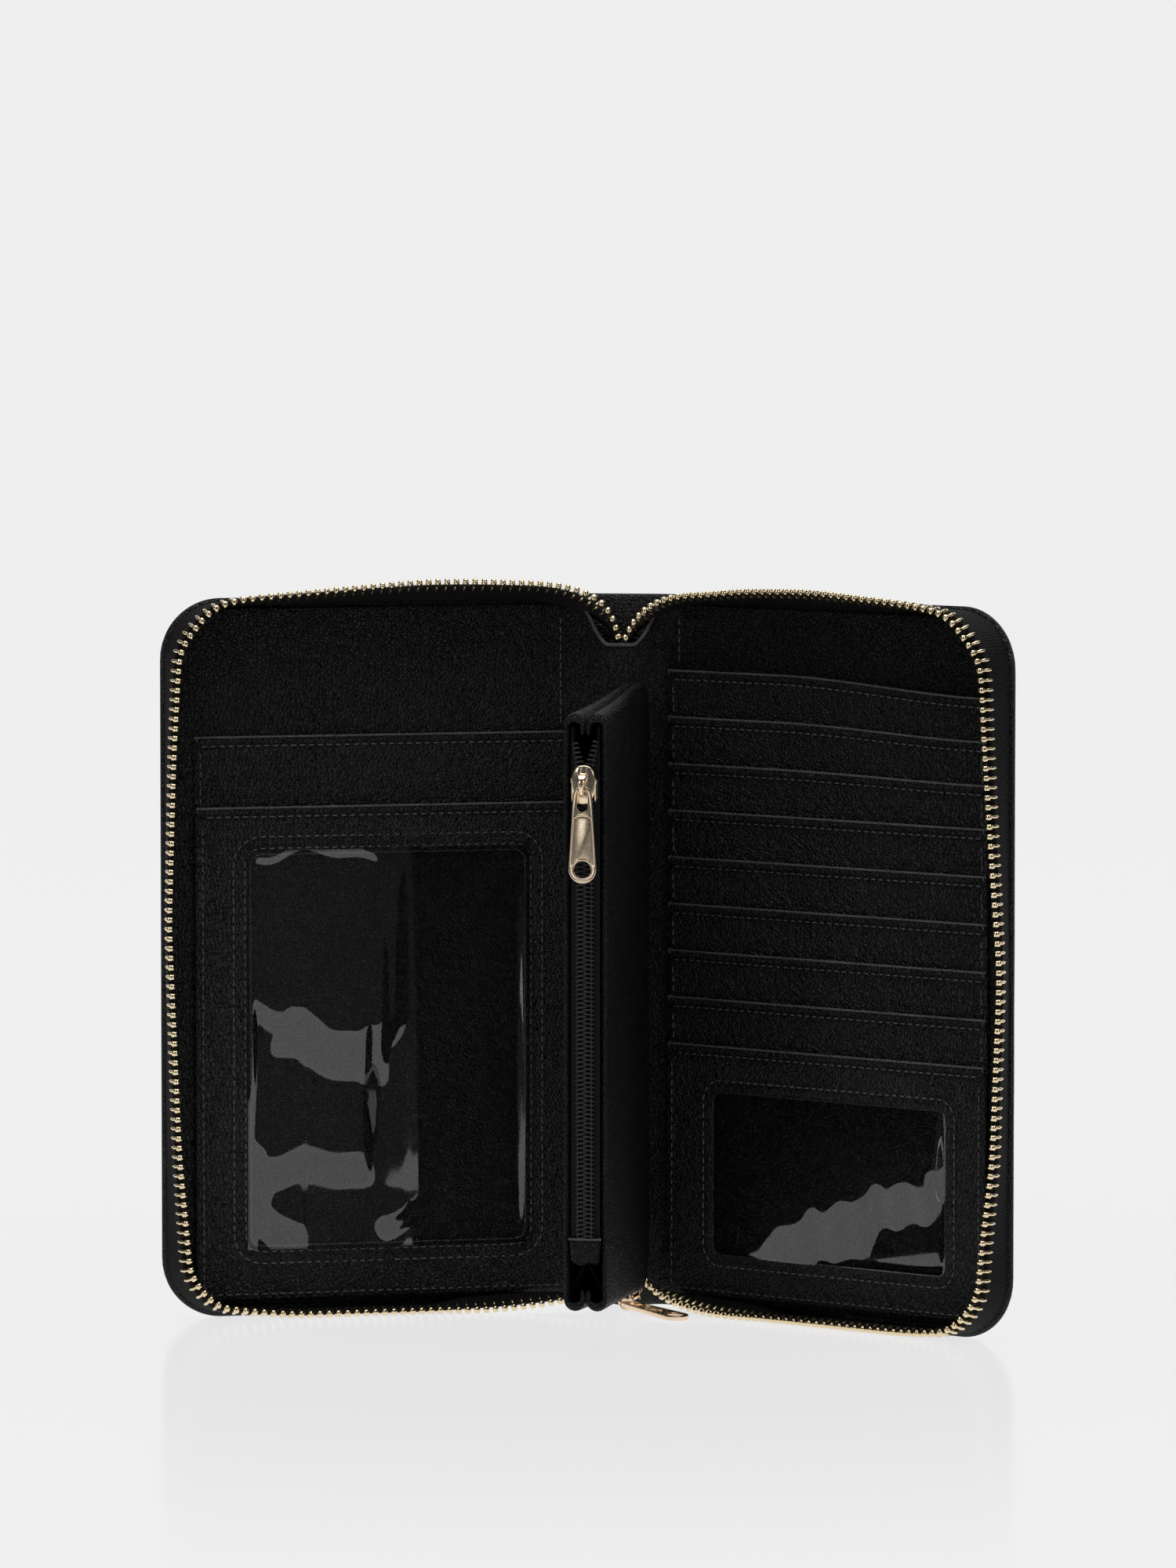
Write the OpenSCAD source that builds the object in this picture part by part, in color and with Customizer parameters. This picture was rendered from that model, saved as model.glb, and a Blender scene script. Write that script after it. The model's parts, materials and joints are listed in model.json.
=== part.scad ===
// Zip-around organiser wallet, standing open on its lower edge.
// Two stiff covers fold on a spine, a zipped coin pocket hangs from the spine as a middle leaf,
// and a metal zip runs round three sides of both covers.
// Frame: origin at the middle of the spine's lower edge, +Z up, the open side faces -Y.

/* [Covers] */
// Height of the covers
cover_h = 189.5; // [180:0.5:195]
// Width of a cover, from its fold to its fore-edge
cover_w = 113; // [110:1:118]
// Radius of the outer corners
corner_r = 16; // [12:1:20]
// Width of the spine, which is the closed thickness
spine_w = 24; // [24:0.5:26]
// Angle of the left cover from lying flat
left_fold = 21.3; // [15:0.1:40]
// Angle of the right cover from lying flat
right_fold = 31.2; // [20:0.1:40]

/* [Materials] */
// Thickness of the outer leather
leather_t = 1.2; // [1:0.1:1.4]
// Thickness of the stiffening board
board_t = 1.0; // [0.8:0.1:1]
// Thickness of the lining leather
lining_t = 0.8; // [0.6:0.1:0.8]
// Thickness of a pocket or card slot strip
strip_t = 0.6; // [0.5:0.05:0.6]
// Thickness of the clear window film
film_t = 0.3; // [0.2:0.05:0.4]

/* [Main zip] */
// Distance from one tooth to the next
tooth_pitch = 2.5; // [2.4:0.1:3]
// Length of a tooth across the chain
tooth_l = 4.3; // [4:0.1:4.4]
// Thickness of a tooth along the chain
tooth_t = 1.1; // [0.9:0.05:1.15]
// Height of a tooth through the chain
tooth_h = 2.4; // [2:0.1:2.6]
// Thickness of the woven tape
tape_t = 0.8; // [0.6:0.1:0.8]

/* [Left cover pockets] */
// Height of the slip pocket's edge
slip_edge_z = 153; // [146:0.5:156]
// Height of the window pocket's edge
window_edge_z = 134.4; // [129:0.2:137]
// Width of the large window
window_w = 74.2; // [70:0.1:76]
// Height of the large window
window_h = 103.5; // [98:0.5:104]

/* [Right cover pockets] */
// Number of card slots
slot_count = 8; // [8:1:8]
// Height of the first card slot's edge
slot_top_z = 169.5; // [168:0.5:171]
// Distance from one slot edge to the next
slot_step = 12.35; // [12:0.05:12.4]
// Width of the identity card window
id_w = 76; // [74:0.1:78]
// Height of the identity card window
id_h = 43.2; // [40:0.2:46]

/* [Coin pocket] */
// Depth of the pocket, from its hinge line to its front
pocket_depth = 93; // [88:1:96]
// Thickness of the pocket at its front
pocket_front_t = 11.4; // [9:0.1:11.6]
// Thickness of the pocket at its back
pocket_back_t = 3.2; // [3.2:0.1:3.4]
// Place of the pocket's hinge across the spine
pocket_x = 6; // [5:0.1:6]
// Angle that the pocket is turned to the left
pocket_turn = 2.5; // [2.2:0.1:3.5]
// Thickness of the pocket's leather
pocket_leather_t = 1.1; // [0.9:0.1:1.1]

/* [Pulls] */
// Length of a zip pull
pull_l = 24.8; // [22:0.2:26]
// Width of a zip pull at its wide end
pull_w = 7.1; // [6:0.1:7.4]
// Radius of the round hole in a zip pull
pull_hole_r = 2.2; // [1.8:0.1:2.3]

/* [Hidden] */
$fn = 48;

black = [0.05, 0.05, 0.055];
soft_black = [0.09, 0.09, 0.095];
gold = [0.85, 0.7, 0.45];
clear = [0.35, 0.36, 0.38];

// Each fold line is a knuckle: leather stops this far from the fold axis on both sides.
knuckle = 0.9;
half_leather = leather_t / 2;
// Depths from a cover's fold plane, in order from the leather to the innermost strip.
board_in = half_leather;
lining_in = board_in + board_t;
strips_in = lining_in + lining_t;
// Inner layers start this far from the fold, so they clear the spine when a cover closes.
inner_start = 2.9;
lining_end = cover_w - 2.5;
panel_end = 104.5;
slots_end = 106.8;

// Main zip: where the tape stands, and the free lengths beside the spine.
tape_inset = 1;
tape_top = spine_w / 2 - 3;
top_free = 16;
bottom_free = 34;
tape_mid = tape_inset + tape_t / 2;
chain_r = corner_r - tape_mid;

// The lower edge of a cover rises beside the spine, to pass over the main zip's pull.
rise = 2.5;
rise_end = 32;
ramp_end = 42;

// Windows, measured from the fold and the base.
window_u = 15.5;
window_z = 18.7;
window_r = 3;
id_u = 18;
id_z = 15.6;
id_r = 2.5;
id_edge_z = slot_top_z - slot_count * slot_step;
panel_bottom = 4.5;
// The pocket panels' lower corner is cut off, inside the curve of the tape.
panel_cut = 3;
film_gap = 0.05;

// Card slots lie like shingles: the slope lifts each edge over the strip above it.
slot_slope = (strip_t + 0.1) / slot_step;
slot_overlap = 8;
slot_l = slot_step + slot_overlap;
slot_lift = slot_slope * slot_l;
shingle_gap = 0.06;

// Coin pocket, in its own frame: x across, y back from the front, the hinge axis at the origin.
pocket_hinge_y = -2.4;
pocket_start = 2.6;
pocket_back_low = 6.5;
pocket_front_low = 10.9;
pocket_back_high = 167.2;
pocket_front_high = 163.8;
pocket_corner = 12;
pocket_taper = atan((pocket_front_t - pocket_back_t) / 2 / (pocket_depth - pocket_start));
gusset_dip = 8;
gusset_t = 0.7;
gusset_gap = 0.1;
fabric_t = 0.4;
// The fabric lining starts in front of the strip that joins the pocket to the spine.
hinge_strip_l = 5.5;
lining_inset = 3;

// Coin zip.
coil_high = 157;
coil_half_w = 2.3;
coil_gap = 0.7;
coil_t = 1.5;
zip_tape_t = 0.5;
slider_low = 141;
slider_h = 10;
slider_w = 6.7;
slider_plate = 1;
slide_gap = 0.35;
neck_w = 0.7;
tab_low = 23.4;
tab_h = 6;

// Pulls and the rings that carry them.
pull_t = 1.2;
pull_top_r = 2.4;
ring_r = 2.6;
ring_wire = 0.6;
eye_r = 1.3;
tab_waist = 0.15;

// Main slider and its pull, which lies on the ground.
main_slider = [1.8, -7.1, 5.5];
main_slider_l = 9;
main_slider_w = 8.6;
main_slider_t = 3.2;
main_slider_tilt = 25;
main_slot_t = 1;
main_slot_d = 3.2;
main_ring = [2.2, -12.8, 3.3];
main_pull_turn = 45;
main_pull_tilt = 3.3;
// How far round the ring, below level, the pull's eye hangs.
main_eye_turn = 30;

// --- Placing ---------------------------------------------------------------

// A cover's own frame: x from the fold to the fore-edge, y inwards from the fold plane, z up.
module on_left_cover() {
    translate([-spine_w / 2, 0, 0])
        rotate([0, 0, 180 + left_fold])
            children();
}

module on_right_cover() {
    mirror([1, 0, 0])
        translate([-spine_w / 2, 0, 0])
            rotate([0, 0, 180 + right_fold])
                children();
}

// Raises a flat outline, drawn in x and z, to a slab between two depths.
module slab(from, to) {
    translate([0, to, 0])
        rotate([90, 0, 0])
            linear_extrude(height = to - from)
                children();
}

// The coin pocket's own frame: x across, y the distance from the hinge towards the front, z up.
module on_pocket() {
    translate([pocket_x, pocket_hinge_y, 0])
        rotate([0, 0, -pocket_turn])
            mirror([0, 1, 0])
                children();
}

// --- Outlines --------------------------------------------------------------

module rounded(x0, x1, y0, y1, r) {
    translate([x0 + r, y0])
        square([x1 - x0 - 2 * r, y1 - y0]);
    translate([x0, y0 + r])
        square([x1 - x0, y1 - y0 - 2 * r]);
    for (x = [x0 + r, x1 - r], y = [y0 + r, y1 - r])
        translate([x, y])
            circle(r);
}

// A sheet of the cover: square at the fold, rounded at the fore-edge.
module sheet_outline(x0, x1, y0, y1, r) {
    translate([x0, y0])
        square([x1 - x0 - r, y1 - y0]);
    translate([x0, y0 + r])
        square([x1 - x0, y1 - y0 - 2 * r]);
    for (y = [y0 + r, y1 - r])
        translate([x1 - r, y])
            circle(r);
}

module cover_outline(x0, inset) {
    sheet_outline(x0, cover_w - inset, inset, cover_h - inset, corner_r - inset);
}

// What is cut away under a cover beside the spine.
module base_rise() {
    polygon([[-1, -1], [ramp_end, -1], [ramp_end, 0], [rise_end, rise], [-1, rise]]);
}

module pocket_outline(inset) {
    back = pocket_start + inset;
    front = pocket_depth - inset;
    low_back = pocket_back_low + inset;
    high_back = pocket_back_high - inset;
    low_front = pocket_front_low + inset;
    high_front = pocket_front_high - inset;
    r = pocket_corner - inset;
    polygon([
        [back + r, low_back], [front, low_front], [front, high_front], [back + r, high_back]
    ]);
    translate([back, low_back + r])
        square([r + 0.5, high_back - low_back - 2 * r]);
    for (z = [low_back + r, high_back - r])
        translate([back + r, z])
            circle(r);
}

// A pull tab: narrow round top at the origin, wide round end below it, and a slight waist at each.
module tab_outline(top_r, end_r, length) {
    drop = length - top_r - end_r;
    top = top_r - tab_waist;
    end = end_r - tab_waist;
    polygon([[-top, 0], [-end, -drop], [end, -drop], [top, 0]]);
    circle(top_r);
    translate([0, -drop])
        circle(end_r);
}

// --- Shared pieces ---------------------------------------------------------

module cover_leather() {
    slab(-half_leather, half_leather)
        difference() {
            cover_outline(knuckle, 0);
            base_rise();
        }
}

module cover_board() {
    slab(board_in, lining_in)
        cover_outline(inner_start + 1, 3.4);
}

module cover_lining() {
    slab(lining_in, strips_in)
        sheet_outline(inner_start, lining_end, 2.8, cover_h - 2.6, corner_r - 2.5);
}

module zip_tape() {
    slab(half_leather, tape_top)
        difference() {
            cover_outline(bottom_free, tape_inset);
            cover_outline(0, tape_inset + tape_t);
        }
    slab(half_leather, tape_top)
        translate([top_free, cover_h - tape_inset - tape_t])
            square([bottom_free - top_free, tape_t]);
}

module tooth() {
    translate([-tooth_t / 2, tape_top, -tooth_h / 2])
        cube([tooth_t, tooth_l, tooth_h]);
}

// Teeth along the top, round both corners, and along the bottom. phase shifts them along the chain.
module zip_teeth(phase) {
    straight_end = cover_w - corner_r;
    side = cover_h - 2 * corner_r;
    arc = chain_r * PI / 2;
    shift = phase * tooth_pitch;
    top_run = straight_end - top_free;
    bottom_run = straight_end - bottom_free;
    total = top_run + 2 * arc + side + bottom_run;
    for (s = [shift + tooth_pitch / 2 : tooth_pitch : total - tooth_pitch / 2])
        if (s < top_run)
            translate([top_free + s, 0, cover_h - tape_mid])
                tooth();
        else if (s < top_run + arc)
            translate([straight_end, 0, cover_h - corner_r])
                rotate([0, 90 * (s - top_run) / arc, 0])
                    translate([0, 0, chain_r])
                        tooth();
        else if (s < top_run + arc + side)
            translate([cover_w - tape_mid, 0, cover_h - corner_r - (s - top_run - arc)])
                rotate([0, 90, 0])
                    tooth();
        else if (s < top_run + 2 * arc + side)
            translate([straight_end, 0, corner_r])
                rotate([0, 90 + 90 * (s - top_run - arc - side) / arc, 0])
                    translate([0, 0, chain_r])
                        tooth();
        else
            translate([straight_end - (s - top_run - 2 * arc - side), 0, tape_mid])
                tooth();
}

// A flat pocket panel with a rounded window in it.
module window_panel(x1, top, depth, wx, wz, ww, wh, wr) {
    slab(depth, depth + strip_t)
        difference() {
            polygon([
                [inner_start, panel_bottom], [x1 - panel_cut, panel_bottom],
                [x1, panel_bottom + panel_cut], [x1, top], [inner_start, top]
            ]);
            rounded(wx, wx + ww, wz, wz + wh, wr);
        }
}

module window_sheet(depth, wx, wz, ww, wh, wr) {
    slab(depth + (strip_t - film_t) / 2, depth + (strip_t + film_t) / 2)
        rounded(wx + film_gap, wx + ww - film_gap, wz + film_gap, wz + wh - film_gap, wr);
}

// A pull with its eye at the origin, hanging along -Z, its faces towards -Y and +Y.
module pull_tab() {
    drop = pull_l - pull_top_r - pull_w / 2;
    difference() {
        slab(-pull_t / 2, pull_t / 2)
            tab_outline(pull_top_r, pull_w / 2, pull_l);
        slab(-pull_t, pull_t)
            circle(eye_r);
        translate([0, 0, -drop])
            slab(-pull_t, pull_t)
                circle(pull_hole_r);
    }
}

// A wire ring in the YZ plane, which a pull turns round.
module pull_ring() {
    rotate([0, 90, 0])
        rotate_extrude()
            translate([ring_r, 0])
                circle(ring_wire);
}

// --- Spine -----------------------------------------------------------------

module spine_leather() {
    color(black)
        translate([knuckle - spine_w / 2, -half_leather, 0])
            cube([spine_w - 2 * knuckle, leather_t, cover_h - 0.4]);
}

module spine_lining() {
    lining_half = spine_w / 2 - inner_start;
    color(soft_black)
        difference() {
            translate([-lining_half, -half_leather - lining_t, 3])
                cube([2 * lining_half, lining_t, cover_h - 10]);
            translate([0, 0, cover_h - 7])
                rotate([90, 0, 0])
                    cylinder(r = 6.5, h = 4, center = true);
        }
}

// The two tapes meet in a V at each end of the spine and are sewn to the lining.
module tape_end(length) {
    color(soft_black)
        for (side = [-1, 1])
            scale([side, 1, 1])
                translate([0.2, -6.5, 0])
                    rotate([0, 25, 0])
                        cube([tape_t, 4.8, length]);
}

module main_zip_tape_end_top() {
    translate([0, 0, cover_h - 14])
        tape_end(9);
}

module main_zip_tape_end_bottom() {
    color(soft_black)
        translate([-3.4, -half_leather - lining_t - 0.75, 3.2])
            cube([6.8, 0.7, 4.4]);
}

module main_zip_slider() {
    color(gold) {
        translate(main_slider)
            rotate([main_slider_tilt, 0, 0])
                difference() {
                    cube([main_slider_w, main_slider_l, main_slider_t], center = true);
                    for (side = [-1, 1])
                        translate([side * main_slider_w / 2, 0, 0])
                            cube([main_slot_d, 2 * main_slider_l, main_slot_t], center = true);
                }
        translate(main_ring)
            rotate([0, 0, main_pull_turn])
                pull_ring();
    }
}

// The main pull has its eye on the ring's wire and its length along the ground.
module main_zip_pull() {
    color(gold)
        translate(main_ring)
            rotate([0, 0, main_pull_turn])
                translate([0, -ring_r * cos(main_eye_turn), -ring_r * sin(main_eye_turn)])
                    rotate([main_pull_tilt - 90, 0, 0])
                        pull_tab();
}

// --- Left cover ------------------------------------------------------------

module left_cover_leather() {
    color(black)
        on_left_cover()
            cover_leather();
}

module left_cover_board() {
    color("dimgray")
        on_left_cover()
            cover_board();
}

module left_lining_panel() {
    color(soft_black)
        on_left_cover()
            cover_lining();
}

module left_slip_pocket() {
    color(black)
        on_left_cover()
            slab(strips_in, strips_in + strip_t)
                translate([inner_start, panel_bottom])
                    square([panel_end - inner_start, slip_edge_z - panel_bottom]);
}

module left_window_pocket() {
    color(black)
        on_left_cover()
            window_panel(panel_end, window_edge_z, strips_in + strip_t,
                window_u, window_z, window_w, window_h, window_r);
}

module left_window_film() {
    color(clear)
        on_left_cover()
            window_sheet(strips_in + strip_t, window_u, window_z, window_w, window_h, window_r);
}

module left_zip_tape() {
    color(soft_black)
        on_left_cover()
            zip_tape();
}

module left_zip_teeth() {
    color(gold)
        on_left_cover()
            zip_teeth(0);
}

// --- Right cover -----------------------------------------------------------

module right_cover_leather() {
    color(black)
        on_right_cover()
            cover_leather();
}

module right_cover_board() {
    color("dimgray")
        on_right_cover()
            cover_board();
}

module right_lining_panel() {
    color(soft_black)
        on_right_cover()
            cover_lining();
}

// One leather strip of the card slots, counted from the top, leaning out towards its edge.
module card_slot(index) {
    edge = slot_top_z - (index - 1) * slot_step;
    color(black)
        on_right_cover()
            translate([inner_start, strips_in + shingle_gap, edge - slot_l])
                rotate([-atan(slot_slope), 0, 0])
                    cube([slots_end - inner_start, strip_t, slot_l]);
}

module id_window_pocket() {
    color(black)
        on_right_cover()
            window_panel(slots_end, id_edge_z, strips_in + slot_lift + shingle_gap,
                id_u, id_z, id_w, id_h, id_r);
}

module id_window_film() {
    color(clear)
        on_right_cover()
            window_sheet(strips_in + slot_lift + shingle_gap, id_u, id_z, id_w, id_h, id_r);
}

module right_zip_tape() {
    color(soft_black)
        on_right_cover()
            zip_tape();
}

module right_zip_teeth() {
    color(gold)
        on_right_cover()
            zip_teeth(0.5);
}

// --- Coin pocket -----------------------------------------------------------

// A side sheet of the pocket between two distances from its outer face. side is -1 or 1.
module pocket_side(side, from, to, inset) {
    on_pocket()
        scale([side, 1, 1])
            translate([pocket_back_t / 2, pocket_start, 0])
                rotate([0, 0, -pocket_taper])
                    translate([-to, -pocket_start, 0])
                        rotate([90, 0, 90])
                            linear_extrude(height = to - from)
                                pocket_outline(inset);
}

module coin_left_panel() {
    color(black)
        pocket_side(-1, 0, pocket_leather_t, 0);
}

module coin_right_panel() {
    color(black)
        pocket_side(1, 0, pocket_leather_t, 0);
}

module coin_left_lining() {
    color(soft_black)
        pocket_side(-1, pocket_leather_t, pocket_leather_t + fabric_t, lining_inset);
}

module coin_right_lining() {
    color(soft_black)
        pocket_side(1, pocket_leather_t, pocket_leather_t + fabric_t, lining_inset);
}

// Half the free width between the two linings, at a distance from the hinge.
function free_half(v) = pocket_back_t / 2 + (v - pocket_start) * tan(pocket_taper)
    - pocket_leather_t - fabric_t - gusset_gap;

// The wedge of space between the two linings.
module pocket_inside() {
    from = pocket_start + 4;
    to = pocket_depth - 2;
    back = free_half(from);
    front = free_half(to);
    on_pocket()
        linear_extrude(height = cover_h)
            polygon([[-back, from], [-front, to], [front, to], [back, from]]);
}

// A pleat that folds into the pocket: high at both sides, low in the middle.
module pleat(dip) {
    half = pocket_front_t / 2;
    rotate([-90, 0, 0])
        linear_extrude(height = pocket_depth)
            polygon([
                [-half, 0], [0, dip], [half, 0],
                [half, -gusset_t], [0, dip - gusset_t], [-half, -gusset_t]
            ]);
}

module coin_top_gusset() {
    color(soft_black)
        intersection() {
            pocket_inside();
            on_pocket()
                translate([0, 0, pocket_front_high - 2])
                    pleat(gusset_dip);
        }
}

module coin_bottom_gusset() {
    color(soft_black)
        intersection() {
            pocket_inside();
            on_pocket()
                translate([0, 0, pocket_front_low + 2])
                    pleat(-gusset_dip);
        }
}

// The leather strip that joins the pocket's back edge to the spine.
module coin_hinge_strip() {
    strip_x = pocket_back_t / 2 - pocket_leather_t - 0.1;
    color(black)
        on_pocket()
            translate([-strip_x, 0, 22])
                cube([2 * strip_x, hinge_strip_l, 128]);
}

module coin_zip_tape(side) {
    color(soft_black)
        on_pocket()
            scale([side, 1, 1])
                translate([coil_gap, pocket_depth - zip_tape_t, 13])
                    cube([pocket_front_t / 2 - pocket_leather_t - coil_gap - 0.3, zip_tape_t, 147.5]);
}

module coin_zip_tape_left() {
    coin_zip_tape(-1);
}

module coin_zip_tape_right() {
    coin_zip_tape(1);
}

module coin_zip_coil(side) {
    color(soft_black)
        on_pocket()
            scale([side, 1, 1])
                translate([coil_gap, pocket_depth, tab_low + tab_h])
                    cube([coil_half_w - coil_gap, coil_t, coil_high - tab_low - tab_h]);
}

module coin_zip_coil_left() {
    coin_zip_coil(-1);
}

module coin_zip_coil_right() {
    coin_zip_coil(1);
}

module coin_zip_end_tab() {
    color(black)
        on_pocket()
            translate([-3.6, pocket_depth, tab_low])
                cube([7.2, 1.6, tab_h - 0.1]);
}

// The slider grips the coils between two plates joined by a neck that runs in the gap between them.
module coin_zip_slider() {
    front = pocket_depth + coil_t + slide_gap;
    back = pocket_depth - zip_tape_t - slide_gap - slider_plate;
    color(gold)
        on_pocket()
            translate([0, 0, slider_low]) {
                for (y = [front, back])
                    translate([0, y + slider_plate, 0])
                        rotate([90, 0, 0])
                            linear_extrude(height = slider_plate)
                                rounded(-slider_w / 2, slider_w / 2, 0, slider_h, 1.6);
                translate([-neck_w / 2, back + 0.1, 1])
                    cube([neck_w, front - back, slider_h - 2]);
                difference() {
                    translate([0, front + slider_plate + 0.9, slider_h / 2])
                        pull_ring();
                    translate([-2, back - 4, -slider_h])
                        cube([4, 4 + front - back + slider_plate / 2, 3 * slider_h]);
                }
            }
}

module coin_zip_pull() {
    ring_y = pocket_depth + coil_t + slide_gap + slider_plate + 0.9;
    color(gold)
        on_pocket()
            translate([0, ring_y, slider_low + slider_h / 2 - ring_r])
                pull_tab();
}

spine_leather();
spine_lining();
main_zip_tape_end_top();
main_zip_tape_end_bottom();
main_zip_slider();
main_zip_pull();
left_cover_leather();
left_cover_board();
left_lining_panel();
left_slip_pocket();
left_window_pocket();
left_window_film();
left_zip_tape();
left_zip_teeth();
right_cover_leather();
right_cover_board();
right_lining_panel();
card_slot(1);  // card_slot_1
card_slot(2);  // card_slot_2
card_slot(3);  // card_slot_3
card_slot(4);  // card_slot_4
card_slot(5);  // card_slot_5
card_slot(6);  // card_slot_6
card_slot(7);  // card_slot_7
card_slot(8);  // card_slot_8
id_window_pocket();
id_window_film();
right_zip_tape();
right_zip_teeth();
coin_left_panel();
coin_right_panel();
coin_left_lining();
coin_right_lining();
coin_top_gusset();
coin_bottom_gusset();
coin_hinge_strip();
coin_zip_tape_left();
coin_zip_tape_right();
coin_zip_coil_left();
coin_zip_coil_right();
coin_zip_end_tab();
coin_zip_slider();
coin_zip_pull();
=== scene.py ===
"""Looks of the zip-around organiser wallet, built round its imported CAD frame."""

import json
import math

import bmesh
import bpy
import numpy as np
from mathutils import Matrix, Vector, noise


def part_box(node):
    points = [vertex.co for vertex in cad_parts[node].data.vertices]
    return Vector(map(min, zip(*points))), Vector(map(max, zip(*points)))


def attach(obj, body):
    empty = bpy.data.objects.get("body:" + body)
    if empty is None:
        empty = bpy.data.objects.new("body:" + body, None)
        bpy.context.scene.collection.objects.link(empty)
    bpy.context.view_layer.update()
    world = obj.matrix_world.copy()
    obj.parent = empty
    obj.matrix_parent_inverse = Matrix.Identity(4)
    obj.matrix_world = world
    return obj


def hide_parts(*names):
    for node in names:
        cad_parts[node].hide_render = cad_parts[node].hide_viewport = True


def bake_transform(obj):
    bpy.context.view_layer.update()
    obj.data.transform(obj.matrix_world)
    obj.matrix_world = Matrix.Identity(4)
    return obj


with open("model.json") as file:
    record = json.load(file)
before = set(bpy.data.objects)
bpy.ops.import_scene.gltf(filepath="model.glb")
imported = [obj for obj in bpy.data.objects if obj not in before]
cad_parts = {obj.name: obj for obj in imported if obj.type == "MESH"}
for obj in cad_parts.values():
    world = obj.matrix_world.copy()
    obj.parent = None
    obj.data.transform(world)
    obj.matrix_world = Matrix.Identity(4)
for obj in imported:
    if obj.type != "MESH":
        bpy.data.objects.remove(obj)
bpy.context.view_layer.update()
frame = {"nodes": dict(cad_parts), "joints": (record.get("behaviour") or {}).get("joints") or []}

MM = 0.001

# --- Sizes, in millimetres ---------------------------------------------------

JOINTS = {joint["name"]: joint for joint in frame["joints"]}
SPINE_HALF = abs(JOINTS["left_cover_fold"]["pos_m"][0]) / MM
LEFT_FOLD = -JOINTS["left_cover_fold"]["range_deg"][0]
RIGHT_FOLD = JOINTS["right_cover_fold"]["range_deg"][1]
COVER_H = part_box("left_cover_leather")[1].z / MM
COVER_W = 113.0
CORNER_R = 16.0
FOLD_SOFT = 5.0

LEATHER_EDGE_R = 1.7
SEAM_INSET = 3.2
LINING_INSET = 2.6

TOOTH_PITCH = 2.5
TAPE_FOOT = 0.9
TAPE_REACH = 10.25
TAPE_INSET = 1.4

PANEL_BACK = 2.45
PANEL_T = 0.6
PANEL_EDGE_R = 0.55
SLIP_EDGE = 153.0
WINDOW_EDGE = 134.4
WINDOW = (15.5, 89.7, 18.7, 122.2)
WINDOW_BACK = 3.45
WINDOW_FILM = 4.3
PANEL_START = 2.9
PANEL_END = 104.5
SLOTS_END = 106.8
PANEL_LOW = 4.5
SLOT_TOP = 169.5
SLOT_STEP = 12.35
SLOT_COUNT = 8
SLOT_LENGTH = 20.35
SLOT_RISE = 1.15
ID_EDGE = SLOT_TOP - SLOT_COUNT * SLOT_STEP
ID_WINDOW = (18.0, 94.0, 15.6, 58.8)
ID_BACK = 3.68
ID_FILM = 4.15
STITCH_STEP = 2.4
STITCH_BELOW = 2.3
NOTCH_LOW = 176.3

POCKET_HINGE = JOINTS["coin_pocket_swing"]["pos_m"]
POCKET_X = POCKET_HINGE[0] / MM
POCKET_HINGE_Y = POCKET_HINGE[1] / MM
POCKET_TURN = math.radians(2.5)
POCKET_START = 2.6
POCKET_DEPTH = 93.0
POCKET_BACK_HALF = 1.6
POCKET_FRONT_HALF = 5.7
POCKET_SKIN = 1.1
POCKET_GAP = 0.06
POCKET_BACK_R = 12.0
POCKET_FRONT_R = 1.5
LIP_START = 88.6
TAB_LOW = 23.0
TAB_TOP = 29.6
COIL_PITCH = 1.16
COIL_LOW = 29.4
COIL_HIGH = 157.0
COIL_PARTED = 2.3
SLIDER_LOW = 141.0
SLIDER_LENGTH = 10.0
RING_R = 2.6
RING_WIRE = 0.6
RING_V = 96.75
RING_Z = SLIDER_LOW + SLIDER_LENGTH / 2
PULL_DROP = 18.85
PULL_TOP_R = 2.4
PULL_END_R = 3.55
PULL_T = 1.2
PULL_RIM = 0.62
MAIN_SLIDER = (1.8, -7.1, 5.5)
MAIN_TILT = 25.0
MAIN_RING = (2.2, -12.8, 3.3)
MAIN_PULL_TURN = math.radians(45)
MAIN_PULL_HANG = math.radians(30)
MAIN_PULL_RISE = math.radians(3.3 - 90)


# --- Small helpers ---------------------------------------------------------

def smooth(t):
    """A smooth step from 0 to 1."""
    t = np.clip(t, 0.0, 1.0)
    return t * t * (3 - 2 * t)


def noise_at(points, scale, seed):
    """Smooth noise, about -1 to 1, at points in millimetres."""
    shift = Vector((seed * 17.3, seed * 5.1, seed * 9.7))
    return np.array([noise.noise(Vector(p) * scale + shift) for p in points])


def noise_grid(a, b, scale, seed):
    points = np.stack([a.ravel(), b.ravel(), np.zeros(a.size)], axis=1)
    return noise_at(points, scale, seed).reshape(a.shape)


def rounded(inward, radius):
    """0 at an edge, rising to 1 along a quarter circle of this radius."""
    return np.sqrt(np.clip(1 - (1 - np.clip(inward / radius, 0, 1)) ** 2, 0, 1))


def ridge(x, middle, width):
    """A smooth bump of height 1 about its middle."""
    return np.exp(-((x - middle) / width) ** 2)


def unit(vectors):
    """Each row of an array of vectors, made of length 1."""
    return vectors / np.linalg.norm(vectors, axis=1)[:, None]


def distances_along(line):
    """How far along a line of points each of them lies."""
    return np.concatenate([[0], np.cumsum(np.linalg.norm(np.diff(line, axis=0), axis=1))])


def at_distance(where, travelled, line):
    """The point or points of a line at these distances along it."""
    return np.stack([np.interp(where, travelled, line[:, k]) for k in range(3)], axis=-1)


def weave(rows, columns, low):
    """The raised and sunk threads of a tape: 1 and low in a stepped pattern."""
    i, j = np.arange(columns)[None, :], np.arange(rows)[:, None]
    return np.where((i // 2 + j) % 2 == 0, 1.0, low)


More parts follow.
